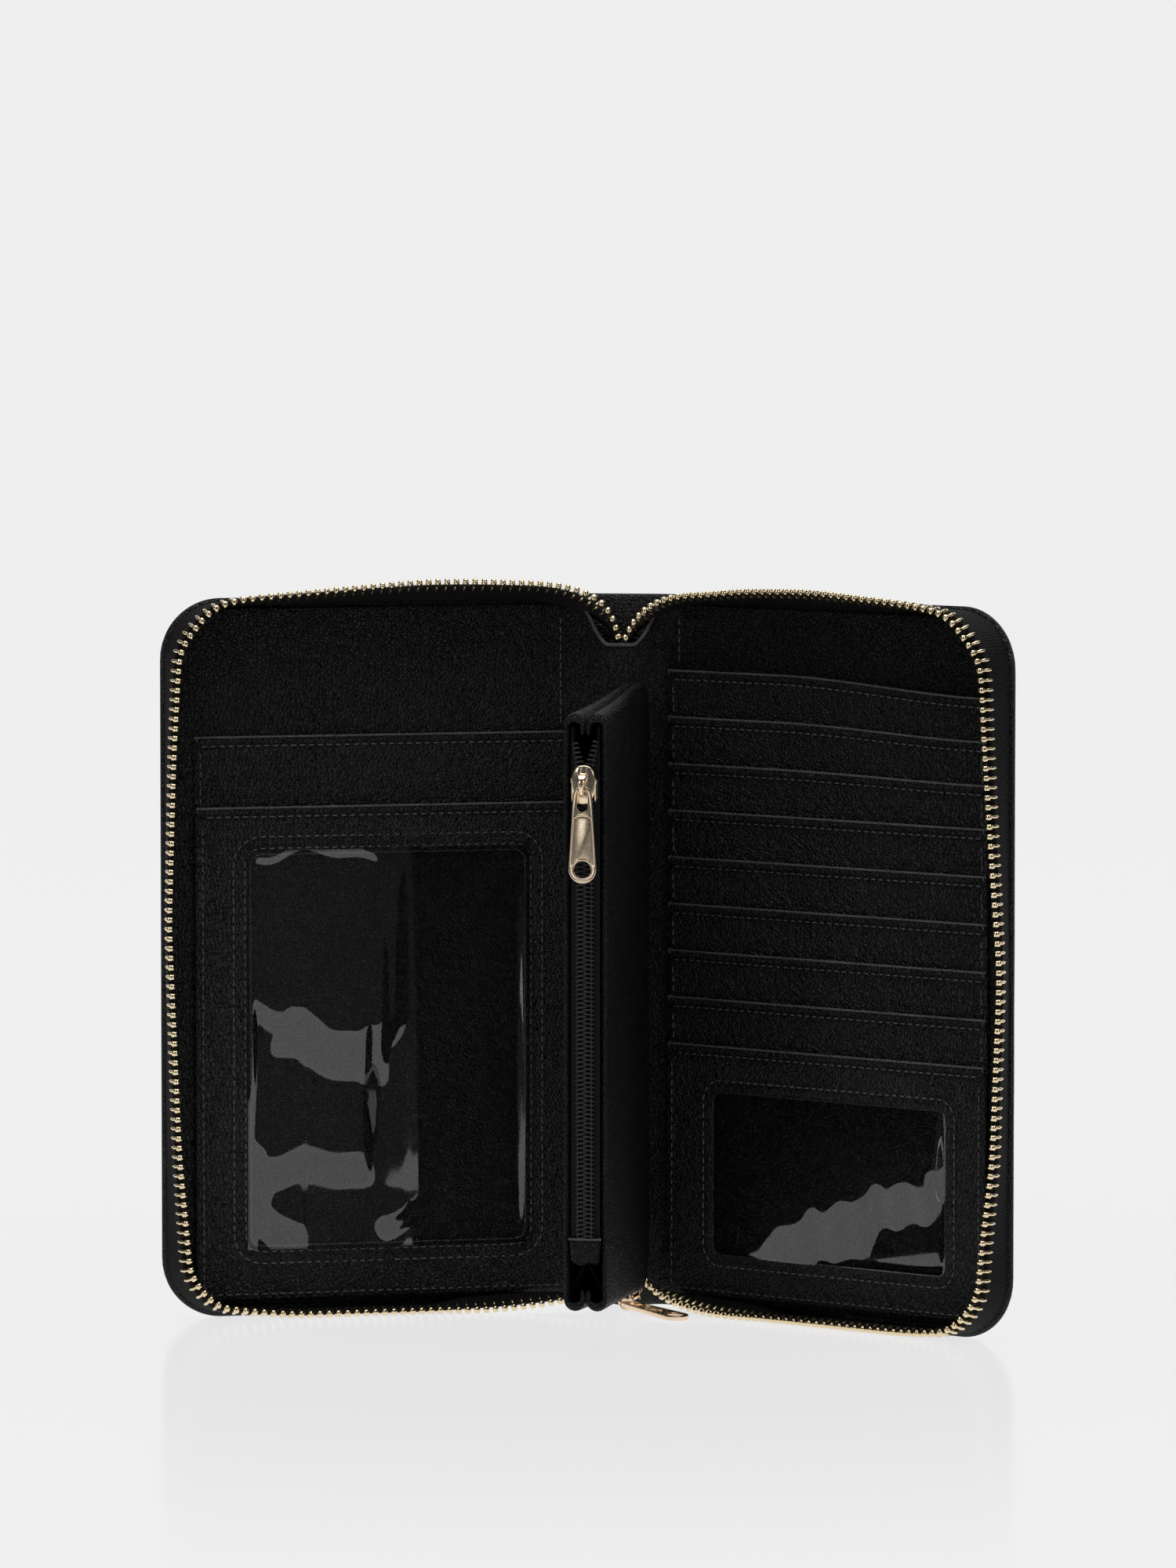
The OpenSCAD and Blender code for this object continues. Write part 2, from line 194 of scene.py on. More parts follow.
def heading(place, a, b, c):
    """The direction in the row's frame of a step in the frame that place maps from."""
    return np.asarray(place(a, b, c)) - np.asarray(place(0, 0, 0))


def spaced(start, end, step, fine=(0.15, 0.4, 0.8, 1.3, 2.0)):
    """Positions from start to end, closer together at both ends."""
    inner = np.linspace(start + fine[-1], end - fine[-1], max(2, int((end - start) / step)))
    head = [start] + [start + f for f in fine[:-1]]
    tail = [end - f for f in reversed(fine[:-1])] + [end]
    return np.array(head + list(inner) + tail)


def show_mesh(name, mesh, material, sharp):
    """An object of a finished mesh, with its material and its shading."""
    mesh.shade_smooth()
    mesh.set_sharp_from_angle(angle=math.radians(sharp))
    mesh.materials.clear()
    mesh.materials.append(material)
    piece = bpy.data.objects.new(name, mesh)
    bpy.context.scene.collection.objects.link(piece)
    return piece


def settle(piece, slot, *nodes, body=None):
    """Attaches a piece to the body it rides, if it isn't blended, and hides its CAD nodes. slot is not
    used.
    """
    if body:
        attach(piece, body)
    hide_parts(*nodes)


class Builder:
    """Collects vertices and faces in millimetres, then makes one object of them."""

    def __init__(self):
        self.verts = []
        self.faces = []

    def add(self, verts, faces):
        base = len(self.verts)
        self.verts.extend(verts)
        self.faces.extend([tuple(base + i for i in face) for face in faces])

    def grid(self, points, close_rows=False, close_columns=False):
        """points is an array of rows by columns by 3."""
        rows, columns = points.shape[:2]
        faces = []
        for r in range(rows if close_rows else rows - 1):
            for c in range(columns if close_columns else columns - 1):
                r1 = (r + 1) % rows
                c1 = (c + 1) % columns
                faces.append((r * columns + c, r * columns + c1, r1 * columns + c1, r1 * columns + c))
        self.add([tuple(p) for p in points.reshape(-1, 3)], faces)

    def capped(self, points):
        """A grid closed round its columns, with a face over each end."""
        base = len(self.verts)
        rows, sides = points.shape[:2]
        self.grid(points, close_columns=True)
        last = base + (rows - 1) * sides
        self.faces.append(tuple(base + i for i in reversed(range(sides))))
        self.faces.append(tuple(last + i for i in range(sides)))

    def shell(self, front, back):
        """Two grids of the same size, joined round their borders."""
        self.grid(front)
        self.grid(back)
        for a, b in ((front[0], back[0]), (front[-1], back[-1]),
                     (front[:, 0], back[:, 0]), (front[:, -1], back[:, -1])):
            self.grid(np.stack([a, b]))

    def tube(self, path, radius, sides=8, closed=False, squash=1.0, up=(0, 0, 1)):
        """A tube along a path. radius may be one number or one for each point."""
        path = np.asarray(path, float)
        count = len(path)
        radii = np.full(count, radius) if np.isscalar(radius) else np.asarray(radius, float)
        if closed:
            tangent = unit(np.roll(path, -1, 0) - np.roll(path, 1, 0))
        else:
            tangent = unit(np.gradient(path, axis=0))
        side = np.cross(tangent, np.array(up, float))
        side /= np.linalg.norm(side, axis=1)[:, None] + 1e-12
        over = np.cross(side, tangent)
        angles = np.arange(sides) * 2 * math.pi / sides
        ring = (np.cos(angles)[None, :, None] * side[:, None, :]
                + squash * np.sin(angles)[None, :, None] * over[:, None, :])
        points = path[:, None, :] + ring * radii[:, None, None]
        if closed:
            self.grid(points, close_rows=True, close_columns=True)
        else:
            self.capped(points)

    def make(self, name, material, sharp=50):
        """One mesh object of all that was added, smooth but for edges sharper than sharp."""
        mesh = bpy.data.meshes.new(name)
        mesh.from_pydata([tuple(v * MM for v in p) for p in self.verts], [], self.faces)
        mesh.validate()
        tidy = bmesh.new()
        tidy.from_mesh(mesh)
        bmesh.ops.remove_doubles(tidy, verts=tidy.verts, dist=0.004 * MM)
        bmesh.ops.recalc_face_normals(tidy, faces=tidy.faces)
        tidy.to_mesh(mesh)
        tidy.free()
        return show_mesh(name, mesh, material, sharp)


# --- Materials -------------------------------------------------------------

def principled(name, **values):
    material = bpy.data.materials.new(name)
    material.use_nodes = True
    shader = material.node_tree.nodes["Principled BSDF"]
    for key, value in values.items():
        shader.inputs[key.replace("_", " ")].default_value = value
    return material


def node(material, kind, **settings):
    made = material.node_tree.nodes.new(kind)
    for key, value in settings.items():
        if key in made.inputs:
            made.inputs[key].default_value = value
        else:
            setattr(made, key, value)
    return made


def link(material, output, target):
    material.node_tree.links.new(output, target)


def textured(material, kind, where, **settings):
    """A texture node that reads its place from where."""
    made = node(material, kind, **settings)
    link(material, where, made.inputs["Vector"])
    return made


def bump(material, height, strength, distance, under=None):
    """The normal that a height gives, over another bump's normal where there is one."""
    made = node(material, "ShaderNodeBump", Strength=strength, Distance=distance)
    link(material, height, made.inputs["Height"])
    if under is not None:
        link(material, under, made.inputs["Normal"])
    return made.outputs["Normal"]


def started(name, **values):
    """A new material, its shader, and the place on the object that textures read."""
    material = principled(name, **values)
    shader = material.node_tree.nodes["Principled BSDF"]
    return material, shader, node(material, "ShaderNodeTexCoord").outputs["Object"]


def ramp(material, source, low, high, dark, light):
    """Colours or greys between two values, from where source runs low to where it runs high."""
    made = node(material, "ShaderNodeValToRGB")
    made.color_ramp.elements[0].position = low
    made.color_ramp.elements[1].position = high
    made.color_ramp.elements[0].color = (*dark, 1)
    made.color_ramp.elements[1].color = (*light, 1)
    link(material, source, made.inputs["Fac"])
    return made.outputs["Color"]


def leather_material(name, colour, roughness, grain=0.5, crease=0.35, shine=0.36):
    """Fine-grained coated leather: pebbled cells, short creases and slow changes of gloss."""
    material, shader, where = started(name, Roughness=roughness, Base_Color=(*colour, 1),
                                      Specular_IOR_Level=shine)
    cells = textured(material, "ShaderNodeTexVoronoi", where, Scale=950.0)
    cells.feature = "DISTANCE_TO_EDGE"
    pores = textured(material, "ShaderNodeTexNoise", where, Scale=620.0, Detail=4.0, Roughness=0.6)
    slow = textured(material, "ShaderNodeTexNoise", where, Scale=28.0, Detail=3.0, Roughness=0.5)
    slant = textured(material, "ShaderNodeMapping", where, Rotation=(0.3, 0.75, 0.2),
                     Scale=(1.0, 1.0, 2.3))
    creases = textured(material, "ShaderNodeTexNoise", slant.outputs["Vector"], Scale=95.0,
                       Detail=5.0, Roughness=0.62, Distortion=1.4)
    edge = ramp(material, cells.outputs["Distance"], 0.0, 0.22, (0, 0, 0), (1, 1, 1))
    first = bump(material, creases.outputs["Fac"], strength=crease, distance=0.0034)
    second = bump(material, edge, strength=grain, distance=0.0007, under=first)
    third = bump(material, pores.outputs["Fac"], strength=grain * 0.8, distance=0.0009, under=second)
    link(material, third, shader.inputs["Normal"])
    low, high = roughness - 0.07, roughness + 0.1
    link(material, ramp(material, slow.outputs["Fac"], 0.3, 0.7, (low,) * 3, (high,) * 3),
         shader.inputs["Roughness"])
    dark = tuple(c * 0.75 for c in colour)
    light = tuple(c * 1.35 for c in colour)
    link(material, ramp(material, creases.outputs["Fac"], 0.3, 0.7, dark, light),
         shader.inputs["Base Color"])
    return material


def woven_material(name, colour, scale, shine=0.25):
    """Close black weave, from two crossed sets of ribs."""
    material, shader, where = started(name, Roughness=0.7, Base_Color=(*colour, 1),
                                      Specular_IOR_Level=shine)
    heights = []
    for turn in (0.8, -0.8):
        mapping = textured(material, "ShaderNodeMapping", where, Rotation=(0.5, turn, 0.4))
        ribs = textured(material, "ShaderNodeTexWave", mapping.outputs["Vector"], Scale=scale,
                        Distortion=1.5, Detail=1.0)
        heights.append(ribs.outputs["Fac"])
    mixed = node(material, "ShaderNodeMath", operation="MULTIPLY")
    link(material, heights[0], mixed.inputs[0])
    link(material, heights[1], mixed.inputs[1])
    height = mixed.outputs["Value"]
    link(material, bump(material, height, strength=0.6, distance=0.0003), shader.inputs["Normal"])
    light = tuple(c * 2.0 for c in colour)
    link(material, ramp(material, height, 0.1, 0.8, colour, light), shader.inputs["Base Color"])
    return material


def metal_material(name, colour, roughness):
    """Polished plating with faint unevenness and fine rubbing marks."""
    material, shader, where = started(name, Metallic=1.0, Roughness=roughness,
                                      Base_Color=(*colour, 1))
    waves = textured(material, "ShaderNodeTexNoise", where, Scale=260.0, Detail=2.0)
    rubs = textured(material, "ShaderNodeTexNoise", where, Scale=1900.0, Detail=3.0)
    link(material, bump(material, waves.outputs["Fac"], strength=0.03, distance=0.00025),
         shader.inputs["Normal"])
    gloss = ramp(material, rubs.outputs["Fac"], 0.3, 0.75,
                 (roughness * 0.85,) * 3, (roughness * 1.2,) * 3)
    link(material, gloss, shader.inputs["Roughness"])
    return material


def film_material(name):
    """Clear soft vinyl: almost all of what shows is its reflection."""
    material, shader, where = started(name, Base_Color=(0.9, 0.9, 0.9, 1), Roughness=0.03,
                                      IOR=1.53, Transmission_Weight=1.0)
    smear = textured(material, "ShaderNodeTexNoise", where, Scale=60.0, Detail=3.0)
    link(material, ramp(material, smear.outputs["Fac"], 0.4, 0.8, (0.015,) * 3, (0.06,) * 3),
         shader.inputs["Roughness"])
    return material


def plain_material(name, colour, roughness, speckle):
    """Pressed board, nylon or thread, with a fine speckle."""
    material, shader, where = started(name, Roughness=roughness, Base_Color=(*colour, 1))
    dots = textured(material, "ShaderNodeTexNoise", where, Scale=speckle, Detail=3.0)
    dark = tuple(c * 0.7 for c in colour)
    light = tuple(c * 1.3 for c in colour)
    link(material, ramp(material, dots.outputs["Fac"], 0.3, 0.7, dark, light),
         shader.inputs["Base Color"])
    link(material, bump(material, dots.outputs["Fac"], strength=0.2, distance=0.0001),
         shader.inputs["Normal"])
    return material


OUTER_LEATHER = leather_material("outer_leather", (0.006, 0.006, 0.0064), roughness=0.42)
INNER_LEATHER = leather_material("inner_leather", (0.0033, 0.0034, 0.004), roughness=0.37,
                                 grain=1.2, crease=0.85, shine=0.4)
# A darker copy of the black leather for the coin pocket: the extra darkness is painted shade on its
# sides, which face away from the light.
POCKET_LEATHER_PAINTED_SHADE = leather_material("pocket_leather", (0.0024, 0.0024, 0.0028), roughness=0.4,
                                  grain=1.1, crease=0.45, shine=0.24)
# The folded edges are black leather too: their lighter grey is a painted highlight, where the top light
# would catch the rounded folds.
HIGHLIGHT_EDGE_LEATHER = leather_material("edge_leather_painted_highlight", (0.085, 0.085, 0.088), roughness=0.3,
                               grain=0.35, crease=0.2)
TAPE_FABRIC = woven_material("tape_fabric", (0.0025, 0.0025, 0.0028), scale=420.0)
LINING_FABRIC = woven_material("lining_fabric", (0.0016, 0.0016, 0.0018), scale=900.0, shine=0.1)
TOOTH_METAL = metal_material("tooth_metal", (0.93, 0.77, 0.50), roughness=0.17)
PULL_METAL = metal_material("pull_metal", (0.98, 0.79, 0.58), roughness=0.2)
COIL_NYLON = plain_material("coil_nylon", (0.010, 0.010, 0.0105), roughness=0.3, speckle=1500.0)
# The thread is black: its grey is a painted highlight, so the stitches read as if catching the light.
THREAD_PAINTED_HIGHLIGHT = plain_material("thread", (0.062, 0.062, 0.065), roughness=0.4, speckle=2500.0)
BOARD = plain_material("board", (0.16, 0.15, 0.14), roughness=0.8, speckle=700.0)
FILM = film_material("window_film")


# --- The two covers ---------------------------------------------------------

class Cover:
    """One cover's own frame: u from the fold, w inwards from the fold plane, z up."""

    def __init__(self, body, side, fold_deg, drawn_up):
        self.body = body
        self.side = side
        self.drawn_up = drawn_up
        self.c = math.cos(math.radians(fold_deg))
        self.s = math.sin(math.radians(fold_deg))

    def at(self, u, w, z):
        """Points in the row frame, in millimetres, from arrays or numbers."""
        u, w, z = np.broadcast_arrays(*(np.asarray(a, float) for a in (u, w, z)))
        x = self.side * (SPINE_HALF + u * self.c - w * self.s)
        y = -(u * self.s + w * self.c)
        return np.stack([x, y, z], axis=-1)

    def skin(self, along, w, z):
        """As at, for a sheet that bends softly from the spine. along is measured from its middle."""
        along, w, z = np.broadcast_arrays(*(np.asarray(a, float) for a in (along, w, z)))
        u = along - SPINE_HALF
        t = np.clip((u + FOLD_SOFT) / (2 * FOLD_SOFT), 0, 1)
        x = np.where(u <= -FOLD_SOFT, along, SPINE_HALF - FOLD_SOFT * (1 - t) ** 2
                     + FOLD_SOFT * self.c * t ** 2)
        y = np.where(u <= -FOLD_SOFT, 0.0, -FOLD_SOFT * self.s * t ** 2)
        far = u > FOLD_SOFT
        x = np.where(far, SPINE_HALF + u * self.c, x)
        y = np.where(far, -u * self.s, y)
        dx = (1 - t) + self.c * t
        dy = -self.s * t
        size = np.hypot(dx, dy)
        dx, dy = dx / size, dy / size
        x = x + dy * w
        y = y - dx * w
        return np.stack([self.side * x, y, z], axis=-1)

    def blend(self, piece, near=-FOLD_SOFT, far=FOLD_SOFT):
        end = Vector(self.at(far, 0, 90)) * MM
        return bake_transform(piece)


LEFT = Cover("left_cover", -1, LEFT_FOLD, 2.2)
RIGHT = Cover("right_cover", 1, RIGHT_FOLD, 0.5)


def edge_distance(u, z, inset=0.0):
    """Distance in from the cover's outline, on the three free sides."""
    r = CORNER_R
    du = u - (COVER_W - inset - r)
    dz = np.abs(z - COVER_H / 2) - (COVER_H / 2 - inset - r)
    outside = np.hypot(np.maximum(du, 0), np.maximum(dz, 0))
    inside = np.minimum(np.maximum(du, dz), 0)
    return r - (outside + inside)


def outline_u(z, inset):
    """How far the cover reaches from the fold at height z."""
    r = CORNER_R - inset
    dz = np.maximum(np.abs(z - COVER_H / 2) - (COVER_H / 2 - CORNER_R), 0)
    return COVER_W - CORNER_R + np.sqrt(np.maximum(r * r - dz * dz, 0))


def bottom_rise(cover, along, z):
    """How far the lower edge of the leather is drawn up near the spine."""
    share = (1 - smooth((along - SPINE_HALF - 18) / 30)) * smooth(along / 12)
    return cover.drawn_up * share * np.clip(1 - z / 20, 0, 1)


def outer_seam(cover):
    """The stitches round the three free sides of a cover, seen from outside."""
    inset = 3.3
    r = CORNER_R - inset
    straight = COVER_W - CORNER_R
    turns = np.radians(np.linspace(-90, 0, 14))
    line = [(u, inset) for u in np.linspace(9.0, straight, 40)[:-1]]
    line += [(straight + r * math.cos(a), CORNER_R + r * math.sin(a)) for a in turns]
    line += [(u, COVER_H - z) for u, z in reversed(line)]
    points = [cover.at(u, -0.72, z + float(bottom_rise(cover, u + SPINE_HALF, z))) for u, z in line]
    outward = heading(cover.at, 0, -1, 0)
    stitches_along(for_cover(THREADS, cover), points,
                   np.repeat(outward[None, :], len(points), axis=0))


def outer_leather(cover, name, nodes):
    """The outer leather of one cover and half of the spine, with turned, rounded edges."""
    levels = np.concatenate([
        COVER_H / 2 - (COVER_H / 2) * np.cos(np.linspace(0, 0.42, 22)),
        np.linspace(9, COVER_H - 9, 70),
        COVER_H / 2 + (COVER_H / 2) * np.cos(np.linspace(0.42, 0, 22)),
    ])
    levels = np.unique(np.round(levels, 3))
    share = np.unique(np.concatenate([
        np.linspace(0, 0.2, 26), np.linspace(0.2, 0.97, 60), 1 - 0.03 * np.linspace(0, 1, 16) ** 2
    ]))
    z = levels[:, None] + 0 * share[None, :]
    reach = SPINE_HALF + outline_u(z, 0.0)
    along = share[None, :] * reach
    inward = edge_distance(along - SPINE_HALF, z)
    low = np.minimum(z, COVER_H - z)
    inward = np.where(along < SPINE_HALF + 40, np.minimum(inward, low), inward)
    bulge = rounded(inward, LEATHER_EDGE_R)
    crown = 0.5 * smooth(inward / 30) * smooth((along - SPINE_HALF) / 20)
    seam = 0.22 * ridge(inward, SEAM_INSET, 0.8)
    ripple = 0.12 * noise_grid(along, z, 0.06, 3)
    fold = 0.35 * ridge(along, SPINE_HALF, 2.2)
    middle = 0.55
    outer = middle - (1.45 + crown) * bulge + seam * bulge + ripple * bulge + fold * bulge
    inner = middle + 0.75 * bulge
    rise = bottom_rise(cover, along, z)
    builder = Builder()
    builder.shell(cover.skin(along, outer, z + rise), cover.skin(along, inner, z + rise))
    piece = builder.make(name, OUTER_LEATHER)
    cover.blend(piece)
    settle(piece, "outer_leather", *nodes)


def lining(cover, name, nodes):
    """The lining leather from the middle of the spine to inside the zip."""
    share = np.unique(np.concatenate([np.linspace(0, 0.12, 61), np.linspace(0.12, 0.22, 13),
                                      np.linspace(0.22, 1, 56)]))
    rows = np.linspace(0, 1, 120)
    rows = np.unique(np.concatenate([rows, 0.01 * rows[:12] * 8, 1 - 0.01 * rows[:12] * 8]))
    reach = SPINE_HALF + COVER_W - LINING_INSET
    along = share[None, :] * reach + 0 * rows[:, None]
    # Where the lining crosses the spine its upper edge dips in a U over the ends of the zip.
    top = notch_top(along)
    low = 3.0 + 1.2 * (1 - smooth(along / 12))
    z = low + (top - low) * rows[:, None]
    limit = SPINE_HALF + outline_u(z, LINING_INSET)
    along = np.minimum(along, limit)
    lift = lining_lift(along, z)
    front = 2.4 + lift + 0.05 * noise_grid(along, z, 0.12, 5)
    edge = np.minimum(np.minimum(top - z, z - low), limit - along)
    roll = rounded(edge, 0.7)
    front = front - 0.5 * (1 - roll)
    back = front - 0.75 * roll - 0.1
    builder = Builder()
    builder.shell(cover.skin(along, front, z), cover.skin(along, back, z))
    piece = builder.make(name, INNER_LEATHER)
    cover.blend(piece)
    settle(piece, "inner_leather", *nodes)


def notch_top(along):
    """The height of the lining's upper edge, which dips in a U across the spine."""
    return NOTCH_LOW + (COVER_H - LINING_INSET - NOTCH_LOW) * smooth((along - 3.0) / 9.5)


def notch_edge(cover, name):
    """The rounded fold along the lining's U edge, in the lighter grey of a painted highlight."""
    along = np.linspace(0, 13.5, 70)
    z = notch_top(along)
    builder = Builder()
    builder.tube(cover.skin(along, 2.35 + lining_lift(along, z), z), 0.5, sides=10, up=(0, 1, 0.2))
    piece = builder.make(name, HIGHLIGHT_EDGE_LEATHER, 60)
    cover.blend(piece)


def lining_lift(along, z):
    """How far the lining stands off the spine: it bows inwards, most of all at the top."""
    middle = 1 - smooth((along - 2.0) / (SPINE_HALF + 1.0))
    top = smooth((z - 152) / 22)
    return middle * (0.4 + 4.0 * top) - 0.8 * (1 - smooth((along - 4) / 8)) * (1 - top)


def folded_panel(cover, name, box, node_name, shown, seed, droop=0.0, rise=0.0):
    """A rectangular pocket strip: its upper edge is folded and stitched, and it may lean outwards.
    droop lowers that edge towards its far end, and shown is how much of the strip is in view."""
    back, thick = PANEL_BACK, PANEL_T
    u0, u1, z0, z1 = box
    us = spaced(u0, u1, 1.6)
    share = np.unique(np.concatenate([
        np.linspace(0, 1, max(8, int((z1 - z0) / 1.6))),
        1 - np.array([0.0, 0.15, 0.35, 0.6, 0.9, 1.3, 1.7, 2.0, 2.3, 2.6, 3.0, 3.6]) / (z1 - z0),
    ]))
    u = us[None, :] + 0 * share[:, None]
    end = (u - u0) / (u1 - u0)
    top = z1 - droop * smooth((end - 0.35) / 0.65)
    z = z0 + (top - z0) * share[:, None]
    below = top - z
    lean = rise * (1 - below / (z1 - z0))
    roll = rounded(below, PANEL_EDGE_R)
    puff = 0.35 * ridge(below, 1.0, 0.8)
    groove = -0.22 * ridge(below, STITCH_BELOW, 0.35)
    pucker = 0.05 * np.cos(2 * math.pi * u / STITCH_STEP) * ridge(below, STITCH_BELOW, 1.2)
    wave = 0.16 * noise_grid(u, z, 0.05, seed) + 0.07 * noise_grid(u, z, 0.22, seed + 9)
    ends = np.minimum(u - u0, u1 - u)
    hold = smooth(ends / 5)
    sag = -0.25 * (1 - smooth(ends / 1.2))
    front = back + lean + thick + (puff + groove + pucker) + wave * hold + sag
    low_front = back + lean + 0.4 * thick
    front = low_front + (front - low_front) * np.maximum(roll, 0.0)
    rear = back + lean + 0.4 * thick * (1 - roll)
    builder = Builder()
    builder.shell(cover.at(u, front, z), cover.at(u, rear, z))
    piece = builder.make(name, INNER_LEATHER)
    settle(piece, "inner_leather", node_name, body=cover.body)
    row_w = back + rise * (1 - STITCH_BELOW / (z1 - z0)) + thick - 0.16
    cover_row(cover, [(a, row_w + b, c - STITCH_BELOW)
                      for a, b, c in zip(us, wave[-1] * hold[-1], top[-1])
                      if u0 + 0.6 < a < u1 - 0.6])
    # The folded top edge gets the lighter grey of a painted highlight.
    painted_highlight_edge(cover, np.stack([us, back + rise + 0.6 * thick + wave[-1] * hold[-1], top[-1]], 1))
    for a in (u0 + 1.6, u1 - 1.6):
        high = np.interp(a, us, top[-1])
        cover_row(cover, [(a, back + rise * (1 - (high - b) / (z1 - z0)) + thick - 0.1, b)
                          for b in np.linspace(high - shown, high - 3.4, 24)])
    for a in (u0 + 0.7, u1 - 0.7):
        nick(cover, a, back + rise + thick, np.interp(a, us, top[-1]))


def rounded_loop(u0, u1, z0, z1, radius, count=160):
    """Points round a rounded rectangle, starting in the middle of its lower side."""
    width, height = u1 - u0, z1 - z0
    straight = [width / 2 - radius, height - 2 * radius, width - 2 * radius, height - 2 * radius,
                width / 2 - radius]
    corners = [(u1 - radius, z0 + radius, -90), (u1 - radius, z1 - radius, 0),
               (u0 + radius, z1 - radius, 90), (u0 + radius, z0 + radius, 180)]
    starts = [((u0 + u1) / 2, z0), (u1, z0 + radius), (u1 - radius, z1), (u0, z1 - radius),
              (u0 + radius, z0)]
    steps = [(1, 0), (0, 1), (-1, 0), (0, -1), (1, 0)]
    per_corner = 8
    free = count - 4 * per_corner
    shares = [0.5 * width, height, width, height, 0.5 * width]
    counts = [max(2, round(free * s / sum(shares))) for s in shares]
    counts[-1] += free - sum(counts)
    points = []
    for i in range(5):
        for k in range(counts[i]):
            d = straight[i] * k / counts[i]
            points.append((starts[i][0] + steps[i][0] * d, starts[i][1] + steps[i][1] * d))
        if i < 4:
            cx, cz, turn = corners[i]
            for k in range(per_corner):
                a = math.radians(turn + 90 * k / per_corner)
                points.append((cx + radius * math.cos(a), cz + radius * math.sin(a)))
    return np.array(points)


def window_frame(cover, name, box, window, radius, back, seed, node_name, rows_out):
    """A pocket panel with a bound window in it, and a row of stitches at each of rows_out."""
    thick = PANEL_T
    outer = rounded_loop(*box, 3.0)
    inner = rounded_loop(*window, radius)
    gap = np.linalg.norm(outer - inner, axis=1)
    fine = [0, 0.2, 0.45, 0.8, 1.3, 1.9, 2.3, 2.7, 3.3, 4.2]
    rings_u, rings_z, from_window = [], [], []
    direction = (outer - inner) / gap[:, None]
    distances = [np.full(len(gap), f) for f in fine]
    distances += [4.2 + (gap - 8.0) * s for s in np.linspace(0.12, 0.88, 7)]
    distances += [gap - f for f in reversed(fine[:9])]
    for d in distances:
        p = inner + direction * d[:, None]
        rings_u.append(p[:, 0])
        rings_z.append(p[:, 1])
        from_window.append(d)
    u = np.array(rings_u)
    z = np.array(rings_z)
    inside = np.array(from_window)
    u0, u1, z0, z1 = box
    edge = np.minimum(np.minimum(u - u0, u1 - u), np.minimum(z - z0, z1 - z))
    top = z1 - z
    roll_in = rounded(inside, 0.6)
    roll_out = rounded(edge, PANEL_EDGE_R)
    grooves = (-0.2 * ridge(inside, 3.0, 0.4) - 0.22 * ridge(top, STITCH_BELOW, 0.35)
               + 0.3 * ridge(top, 1.0, 0.8) + 0.14 * ridge(inside, 1.2, 0.7))
    pucker = 0.05 * np.cos(2 * math.pi * (u + z) / STITCH_STEP) * ridge(inside, 3.0, 1.3)
    wave = 0.22 * noise_grid(u, z, 0.045, seed) + 0.08 * noise_grid(u, z, 0.2, seed + 4)
    hold = smooth(edge / 6) * smooth(inside / 4)
    front = back + (thick + grooves + pucker + wave * hold) * np.minimum(roll_in, roll_out)
    rear = np.full_like(front, back)
    builder = Builder()
    builder.grid(cover.at(u, front, z), close_columns=True)
    builder.grid(cover.at(u, rear, z), close_columns=True)
    for row in (0, -1):
        builder.grid(np.stack([cover.at(u, front, z)[row], cover.at(u, rear, z)[row]]),
                     close_columns=True)
    piece = builder.make(name, INNER_LEATHER)
    settle(piece, "inner_leather", node_name, body=cover.body)
    face = back + thick - 0.14
    for out in rows_out:
        ring = rounded_loop(window[0] - out, window[1] + out, window[2] - out, window[3] + out,
                            radius + out)
        cover_row(cover, [(a, face, b) for a, b in [*ring, ring[0]]])
    cover_row(cover, [(a, face, z1 - STITCH_BELOW) for a in np.linspace(u0 + 1.6, u1 - 1.6, 50)])
    cover_row(cover, [(a, face, z0 + 1.5) for a in np.linspace(u0 + 1.6, u1 - 1.6, 50)])
    for a in (u0 + 1.5, u1 - 2.0):
        cover_row(cover, [(a, face, b) for b in np.linspace(z0 + 1.5, z1 - 4.0, 50)])
    # The window's bound edge and the top edge get the lighter grey of a painted highlight.
    painted_highlight_edge(cover, np.stack([inner[:, 0], np.full(len(inner), back + 0.35 * thick),
                            inner[:, 1]], 1), 0.26, closed=True)
    top_line = np.linspace(u0 + 0.3, u1 - 0.3, 60)
    painted_highlight_edge(cover, np.stack([top_line, np.full(60, back + 0.6 * thick), np.full(60, z1)], 1))
    for a in (u0 + 0.7, u1 - 0.7):
        nick(cover, a, back + thick, z1)


def window_film(cover, name, window, depth, tilt, limits, node_name):
    """The clear sheet behind a window: soft, and never quite flat. tilt is how far each point
    faces down, in degrees, and the sheet is level with the window's edge at its top and bottom."""
    u0, u1, z0, z1 = window
    us = np.linspace(u0 - 1.0, u1 + 1.0, 150)
    zs = np.linspace(z0 - 1.0, z1 + 1.0, 190)
    u, z = np.meshgrid(us, zs)
    a = (u - u0) / (u1 - u0)
    b = (z - z0) / (z1 - z0)
    slope = np.tan(np.radians(tilt(a, b)))
    bulge = np.cumsum(slope, axis=0) * (zs[1] - zs[0])
    ends = (zs - zs[0]) / (zs[-1] - zs[0])
    bulge -= ends[:, None] * bulge[-1][None, :]
    sides = smooth(np.minimum(a, 1 - a) / 0.03)
    front = depth + np.clip(bulge, *limits) * sides
    builder = Builder()
    builder.shell(cover.at(u, front, z), cover.at(u, front - 0.15, z))
    piece = builder.make(name, FILM, 60)
    settle(piece, "window_film", node_name, body=cover.body)


def near(x, y, line, reach):
    """About 1 within reach of a line of points, falling quickly to 0 outside it."""
    best = np.full(x.shape, 1e9)
    for (x0, y0), (x1, y1) in zip(line[:-1], line[1:]):
        dx, dy = x1 - x0, y1 - y0
        t = np.clip(((x - x0) * dx + (y - y0) * dy) / (dx * dx + dy * dy), 0, 1)
        best = np.minimum(best, np.hypot(x - x0 - t * dx, y - y0 - t * dy))
    return np.exp(-(best / reach) ** 4)


